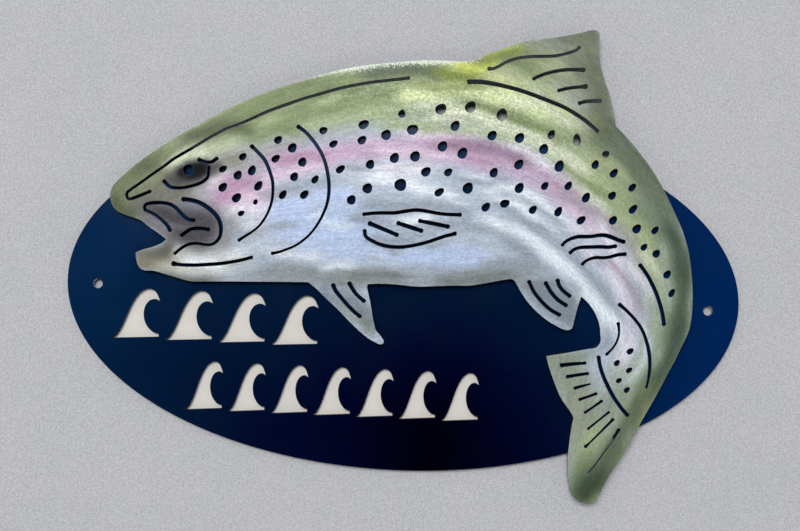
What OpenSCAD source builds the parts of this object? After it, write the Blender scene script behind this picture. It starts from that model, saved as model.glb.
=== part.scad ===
// Metal wall sign: a leaping trout cut from ground steel sheet, held just in front
// of a navy oval plate that carries two rows of wave cut-outs over a pale backer.
// The sign stands upright in the XZ plane and faces -Y. The back of the oval plate is
// the plane y = 0, and the origin is midway between the two wall holes.

/* [Oval plate] */
// Width of the oval plate (mm)
oval_width = 457.2; // [446:0.2:470]
// Height of the oval plate (mm)
oval_height = 241.8; // [236:0.2:250]
// Height of the oval's middle above the line of the wall holes (mm)
oval_rise = 3; // [0:0.5:5]
// Thickness of the oval plate (mm)
oval_thickness = 2; // [1.8:0.1:3]

/* [Wall holes] */
// Distance between the two wall holes (mm)
wall_hole_spacing = 415.7; // [413:0.1:420]
// Diameter of each wall hole (mm)
wall_hole_diameter = 6.35; // [5:0.05:7]

/* [Fish plate] */
// Length of the fish from snout to back edge (mm)
fish_length = 396.4; // [390:0.2:402]
// Thickness of the fish plate (mm)
fish_thickness = 1.9; // [1.5:0.1:3]
// Gap between the oval plate and the fish plate (mm)
fish_gap = 2.2; // [1.5:0.1:5]
// Width of the cut lines, as a part of the usual width
line_width = 1; // [0.8:0.05:1.15]
// Size of the round ends of the cut lines, as a part of the line's width
line_end = 1.2; // [1:0.05:1.3]
// Size of the spots, as a part of the usual size
spot_size = 1; // [0.8:0.05:1.1]
// Diameter of the eye (mm)
eye_diameter = 7.4; // [5.5:0.1:8]

/* [Wave cut-outs] */
// Number of waves in the upper row
upper_waves = 4; // [2:1:5]
// Number of waves in the lower row
lower_waves = 7; // [3:1:8]
// Height of the waves in the upper row (mm)
upper_wave_height = 34.5; // [24:0.5:35]
// Height of the waves in the lower row (mm)
lower_wave_height = 33.5; // [24:0.5:34]
// Width of the metal bridge between two waves (mm)
wave_bridge = 4; // [3:0.5:7]

/* [Backer] */
// Thickness of the pale sheet behind the wave cut-outs (mm)
backer_thickness = 0.8; // [0.5:0.1:1.5]
// Width of the pale sheet's border round the wave cut-outs (mm)
backer_border = 4; // [3.6:0.1:5]
// Thickness of the bonding tape that holds the pale sheet (mm)
tape_thickness = 0.2; // [0.1:0.05:0.5]
// Width of the bonding tape (mm)
tape_width = 3; // [2:0.5:3]

/* [Fixings] */
// Diameter of the round bosses on the back of the fish (mm)
boss_diameter = 8; // [6:0.5:8.5]
// Thread diameter of the countersunk screws (mm)
screw_diameter = 3; // [2.5:0.5:3]
// Head diameter of the countersunk screws (mm)
head_diameter = 5.6; // [5:0.1:6]
// Clearance round the screws in the oval plate (mm)
screw_clearance = 0.3; // [0.1:0.05:0.5]
// Gap between the tips of the screws and the fish plate (mm)
screw_tip_gap = 0.2; // [0:0.1:0.5]
// Width of the hexagon socket in the screws (mm)
socket_width = 2; // [1.5:0.1:2]
// Depth of the hexagon socket in the screws (mm)
socket_depth = 0.8; // [0.5:0.1:1]

/* [Hidden] */
$fn = 48;

// The drawing is upright, with its centre in the middle of the oval: width, height.
// Depths run forwards from the back of the oval plate, along the line of sight.
fish_back = oval_thickness + fish_gap;
screw_length = fish_back - screw_tip_gap;
head_height = (head_diameter - screw_diameter) / 2;
drawn_length = 396.4;
fish_scale = fish_length / drawn_length;

// Points on a curve between two given points, and points round a spot, a tip and the oval
steps = 2;
spot_points = 10;
tip_points = 6;
oval_points = 180;

// How far a cut runs past the faces that it goes through
past = 1;

// Where the fish is fixed to the oval
chin_fix = [-171, 14.5];
gill_fix = [-99, 102.5];
back_fix = [43.5, 110];
belly_fix = [-76, 13.5];
flank_fix = [131, 14];
tail_fix = [162.5, -68];

// Curves
// A smooth curve through hand-read points, each [x, z] or [x, z, width]
function blend(a, b, c, d, t) = 0.5 * (2 * b + (c - a) * t
    + (2 * a - 5 * b + 4 * c - d) * t * t
    + (3 * b - a - 3 * c + d) * t * t * t);
function smooth(p) = let (m = len(p) - 1) [
    for (i = [0 : m - 1])
        for (k = [0 : steps - 1])
            blend(i > 0 ? p[i - 1] : 2 * p[0] - p[1], p[i], p[i + 1],
                i < m - 1 ? p[i + 2] : 2 * p[m] - p[m - 1], k / steps),
    p[m]
];
function flat2(p) = [p[0], p[1]];
function unit(v) = v / norm(v);
function turned(v) = [-v[1], v[0]];
function heading(q, i) = unit(flat2(q[min(i + 1, len(q) - 1)]) - flat2(q[max(i - 1, 0)]));

// A smooth outline made of runs that meet at corners
function joined(runs) = [
    for (r = runs)
        let (q = smooth(r))
            for (i = [0 : len(q) - 2])
                q[i]
];

// One rounded end of a cut line, with the small bulb that the torch leaves
function line_tip(c, out, half) = let (
        r = half * line_end,
        a = atan2(out[1], out[0]),
        s = 180 - asin(half / r)
    ) [
        for (k = [0 : tip_points - 1])
            let (b = a - s + 2 * s * k / (tip_points - 1))
                c + r * [cos(b), sin(b)]
    ];

// The edge of a cut line that runs through the points with their widths
function line_edge(p) = let (q = smooth(p), m = len(q) - 1, w = line_width / 2) concat(
    line_tip(flat2(q[m]), heading(q, m), q[m][2] * w),
    [for (i = [m - 1 : -1 : 1]) flat2(q[i]) + turned(heading(q, i)) * q[i][2] * w],
    line_tip(flat2(q[0]), -heading(q, 0), q[0][2] * w),
    [for (i = [1 : m - 1]) flat2(q[i]) - turned(heading(q, i)) * q[i][2] * w]
);

// A spot like an egg with its narrow end up: [x, z, length, breadth, lean]
function spot_edge(s) = [
    for (k = [0 : spot_points - 1])
        let (
            a = 360 / spot_points * k,
            u = spot_size * s[2] / 2 * cos(a),
            v = spot_size * s[3] / 2 * sin(a) * (1 - 0.2 * cos(a))
        )
            [s[0] + u * cos(s[4]) - v * sin(s[4]), s[1] + u * sin(s[4]) + v * cos(s[4])]
];

// Outline of the fish, in runs from corner to corner
snout_and_back = [
    [-161.8, 29], [-165.1, 31.6], [-170, 34.7], [-175, 38], [-179, 40.9], [-183, 42.4],
    [-190, 44.3], [-196, 47], [-199.3, 51], [-200.7, 56], [-200.4, 60], [-198.6, 64.4],
    [-195.1, 68.4], [-190, 73.3], [-185.3, 77.9], [-180.1, 82.2], [-174.3, 86.7],
    [-167.4, 91.7], [-161.6, 95.5], [-154.7, 100.3], [-145.2, 106.5], [-135, 112.6],
    [-125, 118.5], [-117.8, 122.3], [-110.5, 126.2], [-102.5, 129.8], [-95, 133],
    [-87.3, 135.8], [-80, 138.3], [-71.8, 141.2], [-64.9, 143.9], [-57.5, 146.2],
    [-50, 148.4], [-42.4, 150.3], [-34.5, 152], [-27.2, 153.3], [-20, 154.3], [-12, 155.3],
    [-4, 156.5], [4, 157.4], [12, 157.9], [20, 158], [28, 158], [35, 158.2], [41, 159.1],
    [46, 161.6], [51.9, 164.7], [58, 167.1], [64.2, 169.6], [70, 172.1], [77, 174.1],
    [84, 175.3], [91.4, 176.4], [98.2, 177.7], [105, 179.2], [111.3, 180.8], [117, 182.5],
    [120.7, 183.3], [123.4, 182.6], [124.8, 180.6], [124.7, 175], [125, 170], [125.4, 165],
    [126.3, 160], [127.9, 154.6], [129.8, 148.8], [132, 143.6], [134.4, 136.5],
    [136.4, 129.8], [137.7, 123.4], [138.4, 119]
];
rear_and_tail = [
    [138.4, 119], [142, 116], [147.4, 110.7], [152.1, 105.9], [156.5, 100.6], [160.8, 95.4],
    [165.2, 89.5], [169.2, 83.4], [171.6, 79.5], [174.8, 74], [178.6, 67], [182.2, 59.8],
    [185.3, 53.6], [188.1, 47], [190.5, 39.9], [192.2, 33.2], [193.6, 25.3], [194.7, 17.4],
    [195.4, 9.5], [195.7, 2], [195.5, -6], [194.9, -12.5], [193.8, -17.7], [191.7, -23.2],
    [189.4, -28.3], [185.4, -37.8], [181.7, -45.2], [177.9, -53.5], [173.3, -63],
    [169, -71.2], [165, -79], [162.6, -84], [159.2, -91], [154.6, -100], [150.4, -107.6],
    [146.1, -114.5], [142.4, -121.4], [139.7, -127.5], [137.4, -132.6], [135.6, -135.1],
    [133, -136.2], [129.8, -136.4], [126.1, -135.7], [122.9, -134.1], [120.5, -132],
    [118.9, -129], [117.8, -123.6], [116.9, -118.1], [116.2, -109.4], [116.1, -104.4],
    [116.6, -97.8], [117.1, -91], [118, -83.4], [118.8, -79.4]
];
tail_fork = [
    [118.8, -79.4], [117.8, -77.2], [115.3, -73.6], [112, -69.4], [108.8, -64.6],
    [105.6, -57.7], [102.4, -50.1], [99.8, -42.9], [98.5, -38.3]
];
tail_top = [
    [98.5, -38.3], [103.8, -37.2], [111.8, -35.6], [120.5, -33.6], [127.7, -32],
    [131.4, -31.2], [133.7, -29.1], [134.8, -26.2], [134.4, -22.5], [133.9, -17.9],
    [132.8, -13.5], [131.3, -10.1], [128.8, -5.6], [125.3, -1.3], [121.9, 1.8], [120.4, 2.9]
];
anal_fin = [
    [120.4, 2.9], [118.7, -2.7], [117.2, -9.2], [116, -15.4], [115.1, -18.6], [113.4, -19.9],
    [110.9, -20.1], [107.8, -19.2], [104.2, -17.5], [99.8, -15.3], [95.1, -12.1],
    [90.1, -8.1], [85.1, -3.2], [82.1, 0.5], [78.8, 5.2], [76.7, 8.8], [74.7, 11.7]
];
belly = [
    [74.7, 11.7], [72.7, 12.6], [70.1, 12.4], [65.4, 11.4], [58.9, 9.9], [50.9, 8.1],
    [44.4, 6.9], [37, 6.6], [30, 6.2], [20, 5.4], [12, 4.8], [5.4, 4.8], [-2, 5.3],
    [-10, 5.6], [-17.8, 5.4], [-23.4, 5]
];
vent_fin = [
    [-23.4, 5], [-24.5, 3.4], [-23.5, -1.3], [-21.9, -7.1], [-20.8, -12.2], [-19.6, -18],
    [-18.2, -23.2], [-17.1, -26.2], [-14.9, -28.5], [-13, -30.8], [-11.7, -33],
    [-11.7, -34.4], [-13.1, -35.3], [-15, -35.2], [-18.5, -33.7], [-22.5, -31.5],
    [-26.8, -28.4], [-31.5, -24.5], [-36.6, -19.9], [-41.3, -15.3], [-46, -11.1],
    [-51.1, -6.8], [-55.8, -2.4], [-60.2, 1.4], [-64.5, 4.3]
];
throat = [
    [-64.5, 4.3], [-70, 4.2], [-85, 3.7], [-95.2, 3.3], [-105.3, 2.9], [-115.1, 2.6],
    [-124.9, 2.1], [-135, 1.7], [-142.3, 1.4], [-146.2, 1.8], [-151.7, 3.1], [-157.8, 4.6],
    [-162.9, 5.9], [-166.5, 6.9], [-170, 7.4], [-174.1, 7.3], [-177.4, 8.1],
    [-179.6, 10.3], [-180.8, 13.2], [-181.5, 16.1], [-181.8, 19]
];
lower_lip = [
    [-181.8, 19], [-180.6, 19.9], [-175.5, 22], [-170, 23.7], [-164.4, 26.5], [-161.8, 29]
];

// Cut lines, each point [x, z, width]
head_line = [
    [-174.1, 60.8, 2], [-181.2, 57.5, 2], [-186, 55.5, 2], [-188, 55.2, 1.8],
    [-189.2, 56.6, 1.7], [-189.4, 59, 1.7], [-187.3, 61.3, 1.6], [-180.9, 66.2, 1.6],
    [-173.1, 72.4, 1.6], [-165.1, 78.4, 1.6], [-159.9, 82.8, 1.7], [-153, 87.4, 1.7],
    [-146.6, 91.5, 1.7], [-140, 95.9, 1.7], [-134.8, 99.4, 1.7], [-129.9, 102.3, 1.6],
    [-124.1, 105.7, 1.4], [-118.5, 108, 1.4], [-111.6, 111, 1.6], [-104, 114.9, 1.7],
    [-97.8, 118, 1.8], [-89.9, 121.5, 1.8], [-82.3, 124.5, 1.8], [-74.3, 127.7, 1.8],
    [-64.9, 130.9, 1.8], [-56.9, 133.6, 1.8], [-48.2, 136.4, 1.8], [-38.1, 139, 1.8],
    [-27.9, 141.2, 1.8], [-20, 142.5, 1.8], [-12, 143.7, 1.8], [-3, 145.2, 2]
];
brow_line = [
    [-141.6, 83.7, 2.3], [-139.1, 82.9, 1.9], [-136.8, 82.4, 1.9], [-133.9, 82.5, 2],
    [-131.9, 83.5, 2.2], [-130, 85, 2.2]
];
under_eye_line = [
    [-164.6, 68.1, 2.2], [-160.9, 64.8, 2.2], [-157.3, 64.1, 2.2], [-152.4, 64.3, 2],
    [-147.2, 65.5, 2], [-141.4, 67.5, 2], [-137.9, 69.6, 2], [-135.5, 72.2, 1.9],
    [-135, 75.5, 1.9], [-135, 79, 1.9]
];
upper_lip_line = [
    [-159.3, 35.5, 2.3], [-161.3, 38.5, 2.3], [-165.1, 42, 2], [-169.1, 44.9, 2],
    [-173.7, 47.2, 2], [-176.3, 48.2, 2], [-177.1, 49.8, 1.9], [-176.6, 51.6, 1.9],
    [-174.9, 52.6, 2], [-170.8, 53.3, 2.3], [-165.9, 53.6, 2.3], [-161.3, 53.1, 2.3],
    [-157.9, 51.8, 2.4], [-155, 49.7, 2.4], [-152.1, 46.9, 2.4], [-149.5, 44.5, 2.4],
    [-146.9, 43.1, 2.5], [-143.8, 42.7, 2.5]
];
tongue_line = [
    [-151, 32.4, 2.4], [-148, 34.8, 2.4], [-145.2, 36.6, 2.4], [-140.8, 37.4, 2.4],
    [-136.8, 37.3, 2.4], [-133.6, 36.9, 2.5]
];
cheek_line = [
    [-150.9, 56.6, 2.7], [-147.2, 56.4, 2.7], [-141.4, 55.2, 2.7], [-136.4, 52.9, 2.8],
    [-131.4, 49.4, 2.8], [-127.5, 45.3, 2.7], [-125.3, 40.6, 2.5], [-124.9, 36, 2.4],
    [-125.5, 32.3, 2.1], [-127.9, 28.8, 1.8], [-131, 26.9, 1.7], [-135.1, 26.6, 1.7],
    [-139.7, 27.2, 1.8], [-144.9, 26.8, 2], [-148.3, 25.3, 1.8], [-151.8, 22.9, 1.7],
    [-155.2, 19.8, 1.7]
];
jaw_line = [
    [-155.6, 12.8, 2.8], [-152.2, 12.4, 2.1], [-148.1, 12.3, 2.1], [-140.1, 12.6, 2.1],
    [-132.1, 13.4, 2.1], [-123.8, 14.4, 2.1], [-115.5, 16, 2], [-108.2, 17.9, 2],
    [-103.6, 19.4, 2]
];
gill_front_line = [
    [-106.4, 94.3, 2.4], [-102.3, 90.6, 2.2], [-98.2, 86.5, 2.2], [-95.6, 82.4, 2.2],
    [-93.6, 77.8, 2], [-91.7, 72.2, 1.9], [-91, 65.9, 1.7], [-91.3, 59, 1.6],
    [-92.7, 53, 1.4], [-94.9, 47.6, 1.3], [-98.9, 41.3, 1.3], [-104, 36.6, 1.3],
    [-109.4, 32.9, 1.6], [-112.3, 30.7, 1.8]
];
gill_back_line = [
    [-75.6, 108.9, 2.4], [-71, 105.8, 2.1], [-66.7, 101.6, 2.1], [-62.7, 96.8, 2.1],
    [-59.1, 91.3, 2.1], [-56.5, 85.5, 2.1], [-54.8, 79.5, 2.1], [-53.5, 72.5, 2.1],
    [-53.2, 65.2, 2], [-54, 58.3, 1.7], [-56.2, 51.4, 1.5], [-59.1, 45.2, 1.4],
    [-63.1, 38.9, 1.3], [-67.8, 33.7, 1.3], [-73.9, 28.9, 1.3], [-80.1, 25.9, 1.4],
    [-84.8, 24, 1.5], [-89.4, 22.8, 1.8]
];
side_fin_top_line = [
    [-28.7, 52, 2.1], [-22, 53, 2.1], [-15, 53.5, 2.2], [-8.1, 53.8, 2.2], [-3, 54.8, 2.2],
    [3, 56, 2.2], [8.2, 56.4, 2.2], [14, 55.8, 2.2], [20.5, 54.9, 2.1], [27, 54.4, 2.1],
    [35.8, 54.5, 2.3]
];
side_fin_under_line = [
    [-27.8, 40.6, 2.2], [-27.4, 38, 2.2], [-25.9, 36.1, 2.2], [-22.1, 34.1, 2.2],
    [-17.8, 32.3, 2.3], [-13.1, 31.2, 2.3], [-8, 30.8, 2.3], [-2, 31, 2.2],
    [4.2, 32.1, 2.1], [10.4, 33.7, 2.1], [16.5, 35.7, 2.1], [21.6, 37.7, 2.1],
    [26.7, 39.7, 2.1], [30.6, 40.8, 2.2], [33, 41.6, 2.3]
];
side_fin_ray_1 = [[-24.3, 45.8, 2.8], [-15, 42.4, 2.5], [-6.2, 39.1, 2.5]];
side_fin_ray_2 = [[-5.1, 46.9, 2.5], [2.6, 44.7, 2.8], [10.2, 42.6, 2.5]];
side_fin_ray_3 = [[9.3, 49.1, 2.3], [18.6, 47.7, 2.6], [28, 46.2, 2.5]];
fin_root_line = [
    [38.4, 144.5, 2.9], [45.8, 144.8, 2.9], [54, 144, 2.7], [62.9, 142.5, 2.5],
    [71.2, 140.7, 2.5], [80, 138.2, 2.4], [88, 135.6, 2.4], [98.4, 132, 2.4],
    [104.3, 129.6, 2.4], [110.1, 126.5, 2.4], [116.3, 122.8, 2.4], [121, 119.3, 2.4],
    [125.9, 115.3, 2.4]
];
fin_ray_1 = [
    [51.3, 153.9, 2.2], [54, 154.1, 1.7], [57.3, 155.7, 1.7], [61.3, 158.2, 1.7],
    [66.4, 160.6, 1.8], [72.5, 162.4, 1.8], [80.1, 163.5, 1.8], [87.4, 163.9, 1.8],
    [94.6, 164.5, 1.8], [100.4, 165.8, 1.7], [106.2, 167.7, 1.7], [109.6, 169.2, 1.8],
    [111.3, 171, 1.8]
];
fin_ray_2 = [
    [81.7, 148.6, 2], [85.6, 150.7, 2], [91, 152.8, 2], [96.8, 154.4, 2.1],
    [102.6, 155.5, 2.1], [108.7, 155.9, 2.2], [114.7, 156, 2.6]
];
fin_ray_3 = [
    [99, 141.4, 2], [103.3, 142.7, 2], [108.4, 143.8, 2], [113.1, 144.4, 2.1],
    [116.7, 144.8, 2.8]
];
fin_ray_4 = [[113.4, 133.5, 2.2], [117.1, 134.7, 2.1], [122.1, 135.3, 2.2], [126.7, 135.5, 2.5]];
flank_line_1 = [
    [106.1, 37.3, 1.8], [107.8, 39.4, 1.8], [111.9, 41.8, 2.1], [116.5, 43.3, 2.3],
    [121.7, 43.6, 2.3], [126, 44, 2.2], [130.4, 44.9, 2.3], [134.8, 45, 2.6],
    [139.1, 43.9, 2.6], [143.4, 42.3, 2.5], [147, 41.3, 2.5]
];
flank_line_2 = [
    [111.6, 32.3, 2], [113.7, 34.3, 2], [117, 35.8, 2], [121, 36.4, 2.2],
    [126.8, 36.8, 2.2], [132.9, 37.2, 2.3], [137, 37.1, 2.2], [141.6, 38, 2.2]
];
flank_line_3 = [
    [120.2, 24.9, 1.8], [121.5, 26.5, 1.7], [125, 28.6, 1.7], [129.3, 29.8, 2],
    [134, 29.8, 2], [139.1, 30.8, 2], [143.8, 32.3, 2.1], [148.3, 32.9, 2.3]
];
rear_line_1 = [
    [159.3, 25.7, 2.3], [161.9, 22.6, 2.3], [165.2, 17.9, 2.3], [168.1, 12.9, 2.4],
    [170.5, 8.2, 2.4], [172.6, 3, 2.4], [174.5, -2.3, 2.4], [175.9, -7.5, 2.4],
    [176.9, -13, 2.4]
];
rear_line_2 = [
    [146.6, -1.4, 2.3], [150.6, -4.5, 1.9], [155.2, -8.8, 1.9], [159.6, -13.6, 1.9],
    [162.9, -18.6, 1.9], [165.1, -23.7, 2], [166.9, -29.3, 2.2], [168.2, -35.8, 2.2],
    [168.7, -42.2, 2], [168.4, -48, 1.8], [167.8, -52.7, 1.4], [167.1, -56.2, 1.4]
];
tail_fork_line = [
    [146.1, -14.2, 1.9], [146.7, -17.9, 1.4], [146.8, -21.3, 1.2], [146.1, -25, 1.2],
    [144.4, -28.8, 1.2], [142, -32.2, 1.2], [139.3, -35.1, 1.7]
];
tail_root_line = [
    [133.9, -37.7, 2.3], [134.5, -40.8, 2.3], [135.9, -45.8, 2.3], [138.2, -51.3, 2.3],
    [141.1, -57, 2.4], [144.3, -62.5, 2.4], [147.8, -67.4, 2.3], [151.4, -71.8, 2.3],
    [154.9, -75.5, 2.3]
];
tail_ray_1 = [[109.4, -43.9, 2.5], [117, -42.7, 2.2], [124.7, -41.8, 1.8]];
tail_ray_2 = [[113.7, -51.4, 2.1], [120.3, -50, 2], [126.8, -48.8, 1.8]];
tail_ray_3 = [[119.1, -58.9, 2], [123, -57.6, 1.7], [128.6, -55.8, 1]];
tail_ray_4 = [[122.6, -66.4, 1.8], [128, -64.3, 1.5], [133.1, -62.2, 1.7]];
tail_ray_5 = [[126.6, -75, 1.6], [131.7, -71.2, 1.4], [137.1, -67, 1.7]];
tail_ray_6 = [[129.1, -85.9, 1.4], [135.8, -80, 1.1], [142.3, -74.3, 1.5]];
tail_ray_7 = [[127.8, -98, 1.9], [130.6, -95.2, 1.1], [138, -87.2, 1.2], [145.3, -79.2, 1.8]];
tail_ray_8 = [
    [130.6, -115.3, 0.8], [134.3, -110.7, 0.8], [139.9, -102.2, 0.8], [145, -93.9, 1.7],
    [149.6, -85.9, 2]
];
anal_ray_1 = [
    [84.8, 11.2, 2.3], [87.9, 5.2, 2.3], [91.5, 0.8, 2.3], [95.9, -3.6, 2.3],
    [100.4, -7.1, 2.3], [105.9, -9.9, 2.3]
];
anal_ray_2 = [
    [96.1, 10.8, 2.4], [98, 7.6, 2.4], [100.9, 3.7, 2.4], [104.9, -0.1, 2.4],
    [110.1, -3.3, 2.4]
];
anal_ray_3 = [[104, 12.9, 2.4], [105.1, 9.8, 2.4], [107.7, 6.5, 2.3], [112.3, 3.1, 2.3]];
vent_ray_1 = [
    [-47.3, 2.9, 2.5], [-45.6, -0.5, 2.5], [-41.4, -5.3, 2.4], [-37.3, -9.7, 2.4],
    [-32.6, -14, 2.4], [-28.7, -17, 2.4]
];
vent_ray_2 = [[-36.4, 4.6, 2.5], [-34.5, 1.6, 2.5], [-31.5, -2.3, 2.3], [-26.4, -6.5, 2.4]];
CUT_LINES = [head_line, brow_line, under_eye_line, upper_lip_line, tongue_line, cheek_line,
    jaw_line, gill_front_line, gill_back_line, side_fin_top_line, side_fin_under_line,
    side_fin_ray_1, side_fin_ray_2, side_fin_ray_3, fin_root_line, fin_ray_1, fin_ray_2,
    fin_ray_3, fin_ray_4, flank_line_1, flank_line_2, flank_line_3, rear_line_1,
    rear_line_2, tail_fork_line, tail_root_line, tail_ray_1, tail_ray_2, tail_ray_3,
    tail_ray_4, tail_ray_5, tail_ray_6, tail_ray_7, tail_ray_8, anal_ray_1, anal_ray_2,
    anal_ray_3, vent_ray_1, vent_ray_2];

// Spots, each [x, z, length, breadth, lean]
cheek_spots = [
    [-125.3, 78.3, 5.8, 3.8, 35], [-115.1, 74.6, 6.3, 5, 60], [-112.3, 87.2, 5.6, 4.2, 45],
    [-124.8, 66, 6.6, 4.8, 50], [-115.2, 59.3, 7, 5, 48], [-111.7, 48.9, 4.6, 3.2, 30],
    [-102.4, 57, 3.7, 2.6, 65], [-105.7, 78.2, 7, 4.8, 70], [-100.9, 68, 7.2, 4.4, 58]
];
shoulder_spots = [
    [-88.9, 99.6, 5.8, 4.5, 50], [-90, 86.9, 6.2, 4.2, 42], [-79.1, 94.7, 6.6, 5.4, 60],
    [-71.9, 85.4, 6.2, 5.2, 70], [-77, 75.2, 5.9, 5, 60], [-62.8, 74, 6, 3.8, 55],
    [-84.1, 62.8, 6.6, 4, 58], [-69.6, 63.5, 6.6, 4.4, 48]
];
side_spots = [
    [-58.7, 107.3, 5.6, 4.5, 30], [-51.5, 98.5, 6, 4, 38], [-31.6, 112.6, 7.4, 5.4, 35],
    [-32.3, 102, 6.4, 4.8, 45], [-16.2, 106.3, 7, 6.2, 60], [-26.1, 85.9, 6.2, 5.3, 70],
    [-46, 81.7, 6.8, 4.2, 40], [-37.7, 61.4, 6.4, 5.6, 60], [-27.2, 69.7, 6.8, 6.2, 60],
    [-6.3, 121, 5.4, 4.6, 80], [1.5, 110.6, 7.6, 6.4, 30], [20, 125.3, 7.8, 6.6, 50],
    [39.9, 127.7, 8, 6.6, 55], [61.3, 123.5, 8.3, 6.6, 75], [30.1, 114.5, 7.2, 5.4, 60],
    [55.4, 109.1, 6.9, 5.4, 55], [74, 108.3, 7, 5.6, 55], [95.3, 111.5, 6.5, 4.3, 65],
    [112.6, 108.7, 8, 4.9, 95], [90.6, 101.5, 7, 5.6, 72], [22.2, 100.3, 7.2, 6, 60],
    [35.9, 96.3, 7.8, 6, 62], [4, 92.7, 7.1, 6.2, 60], [-9.9, 91, 7, 5.6, 65],
    [74.3, 90.4, 7.4, 5.2, 55], [57.6, 84.1, 6.6, 5, 65], [11.8, 82.6, 7, 5.4, 45],
    [26.8, 82.9, 6, 4.5, 45], [-5, 73.1, 8.2, 7.8, 60], [21.4, 69.2, 7, 4.4, 38],
    [40.6, 72.9, 7.8, 6.4, 60], [53.3, 60.6, 6.8, 4.6, 50], [66, 63.5, 6.6, 5, 30]
];
rear_spots = [
    [75.3, 74.5, 7.3, 5.2, 60], [92.4, 76.6, 5.9, 4, 55], [85.1, 60.2, 6.2, 4.2, 50],
    [101.6, 90.4, 7.9, 5.6, 70], [125.8, 92.5, 6.2, 4.3, 68], [132.6, 99.9, 4.9, 4.2, 45],
    [138.6, 87.3, 6.8, 4.2, 52], [108.3, 77.4, 6.3, 4, 58], [120.6, 70, 7.1, 4.5, 62],
    [138.1, 72.1, 6, 4.5, 50], [151.5, 78.2, 6.2, 3.9, 50], [102.3, 59.7, 7, 4.3, 62],
    [118, 54.6, 6.8, 4.3, 42], [139.5, 55.5, 6.2, 4.6, 52], [152.7, 63.6, 7.2, 4, 50],
    [155.8, 50.5, 6.6, 5, 50], [168.2, 50, 6, 3.6, 52], [161.2, 38.3, 5.2, 3.6, 48],
    [169.7, 34.3, 5.6, 4.5, 52], [177.7, 20.6, 6, 4.2, 55], [181.3, 8.2, 6.2, 3.4, 62]
];
tail_spots = [
    [155, -32.4, 5, 3.4, 40], [146.4, -40.7, 4.6, 3.2, 50], [154.9, -45.2, 4.8, 2.9, 38],
    [148.3, -52.5, 4.2, 2.8, 35], [153.9, -58.6, 4.4, 3, 48]
];
SPOTS = concat(cheek_spots, shoulder_spots, side_spots, rear_spots, tail_spots);
eye_place = [-148.7, 76.5];

// Wave cut-out in a box one wide and one high
wave_back = [
    [0, 0], [0.1, 0.07], [0.2, 0.22], [0.3, 0.45], [0.41, 0.7], [0.56, 0.91], [0.74, 1],
    [0.9, 0.94], [1, 0.76]
];
wave_curl = [
    [1, 0.76], [0.9, 0.8], [0.78, 0.77], [0.69, 0.66], [0.66, 0.5], [0.7, 0.33],
    [0.8, 0.2], [0.9, 0.14], [1, 0.12]
];
wave_foot = [[1, 0.12], [1, 0]];
upper_row = [-197, -57, -39.4];
lower_row = [-145, 54.5, -86];

// Upright sheet: the drawing's own plane turned to face -Y, its back at this depth
module sheet(depth, thick)
    translate([0, -depth, oval_rise])
        rotate([90, 0, 0])
            linear_extrude(thick)
                children();

// Round bar along the line of sight
module bar(place, depth, long, d1, d2)
    translate([place[0], -depth, place[1] + oval_rise])
        rotate([90, 0, 0])
            cylinder(h = long, d1 = d1, d2 = d2);

// The oval, drawn in from its edge by an even border
module oval_shape(border)
    polygon([
        for (k = [0 : oval_points - 1])
            let (a = 360 / oval_points * k)
                [(oval_width / 2 - border) * cos(a), (oval_height / 2 - border) * sin(a)]
    ]);

module wave_row(row, count, tall) {
    pitch = (row[1] - row[0] + wave_bridge) / count;
    wide = pitch - wave_bridge;
    for (i = [0 : count - 1])
        polygon([
            for (p = joined([wave_back, wave_curl, wave_foot]))
                [row[0] + i * pitch + p[0] * wide, row[2] + p[1] * tall]
        ]);
}

module oval_sheet()
    sheet(0, oval_thickness)
        difference() {
            oval_shape(0);
            wave_row(upper_row, upper_waves, upper_wave_height);
            wave_row(lower_row, lower_waves, lower_wave_height);
            for (side = [-1, 1])
                translate([side * wall_hole_spacing / 2, -oval_rise])
                    circle(d = wall_hole_diameter);
        }

// Countersunk hole from the back that the head of a screw fills
module countersink(place) {
    hole = screw_diameter + screw_clearance;
    bar(place, -past, oval_thickness + 2 * past, hole, hole);
    bar(place, 0, head_height, head_diameter, screw_diameter);
}

module oval_plate()
    color("midnightblue")
        difference() {
            oval_sheet();
            countersink(chin_fix);
            countersink(gill_fix);
            countersink(back_fix);
            countersink(belly_fix);
            countersink(flank_fix);
            countersink(tail_fix);
        }

fish_edge = joined([snout_and_back, rear_and_tail, tail_fork, tail_top, anal_fin, belly,
    vent_fin, throat, lower_lip]);

module fish_plate()
    color("silver")
        sheet(fish_back, fish_thickness)
            difference() {
                polygon(fish_scale * fish_edge);
                for (p = CUT_LINES)
                    polygon(fish_scale * line_edge(p));
                for (s = SPOTS)
                    polygon(fish_scale * spot_edge(s));
                translate(fish_scale * eye_place)
                    circle(d = eye_diameter);
            }

// The pale sheet covers both rows with a border, and its corners follow the oval
row_gap_middle = (upper_row[2] + lower_row[2] + lower_wave_height) / 2;
backer_top = upper_row[2] + upper_wave_height + backer_border;
backer_foot = lower_row[2] - backer_border;
backer_left = upper_row[0] - backer_border;
backer_right = lower_row[1] + backer_border;
module backer_shape()
    intersection() {
        oval_shape(backer_border);
        polygon([
            [backer_left, backer_top],
            [upper_row[1] + backer_border, backer_top],
            [upper_row[1] + backer_border, row_gap_middle + backer_border],
            [backer_right, row_gap_middle + backer_border],
            [backer_right, backer_foot],
            [lower_row[0] - backer_border, backer_foot],
            [backer_left, row_gap_middle - backer_border]
        ]);
    }

module cutout_backer()
    color("linen")
        sheet(-tape_thickness - backer_thickness, backer_thickness)
            backer_shape();

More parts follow.
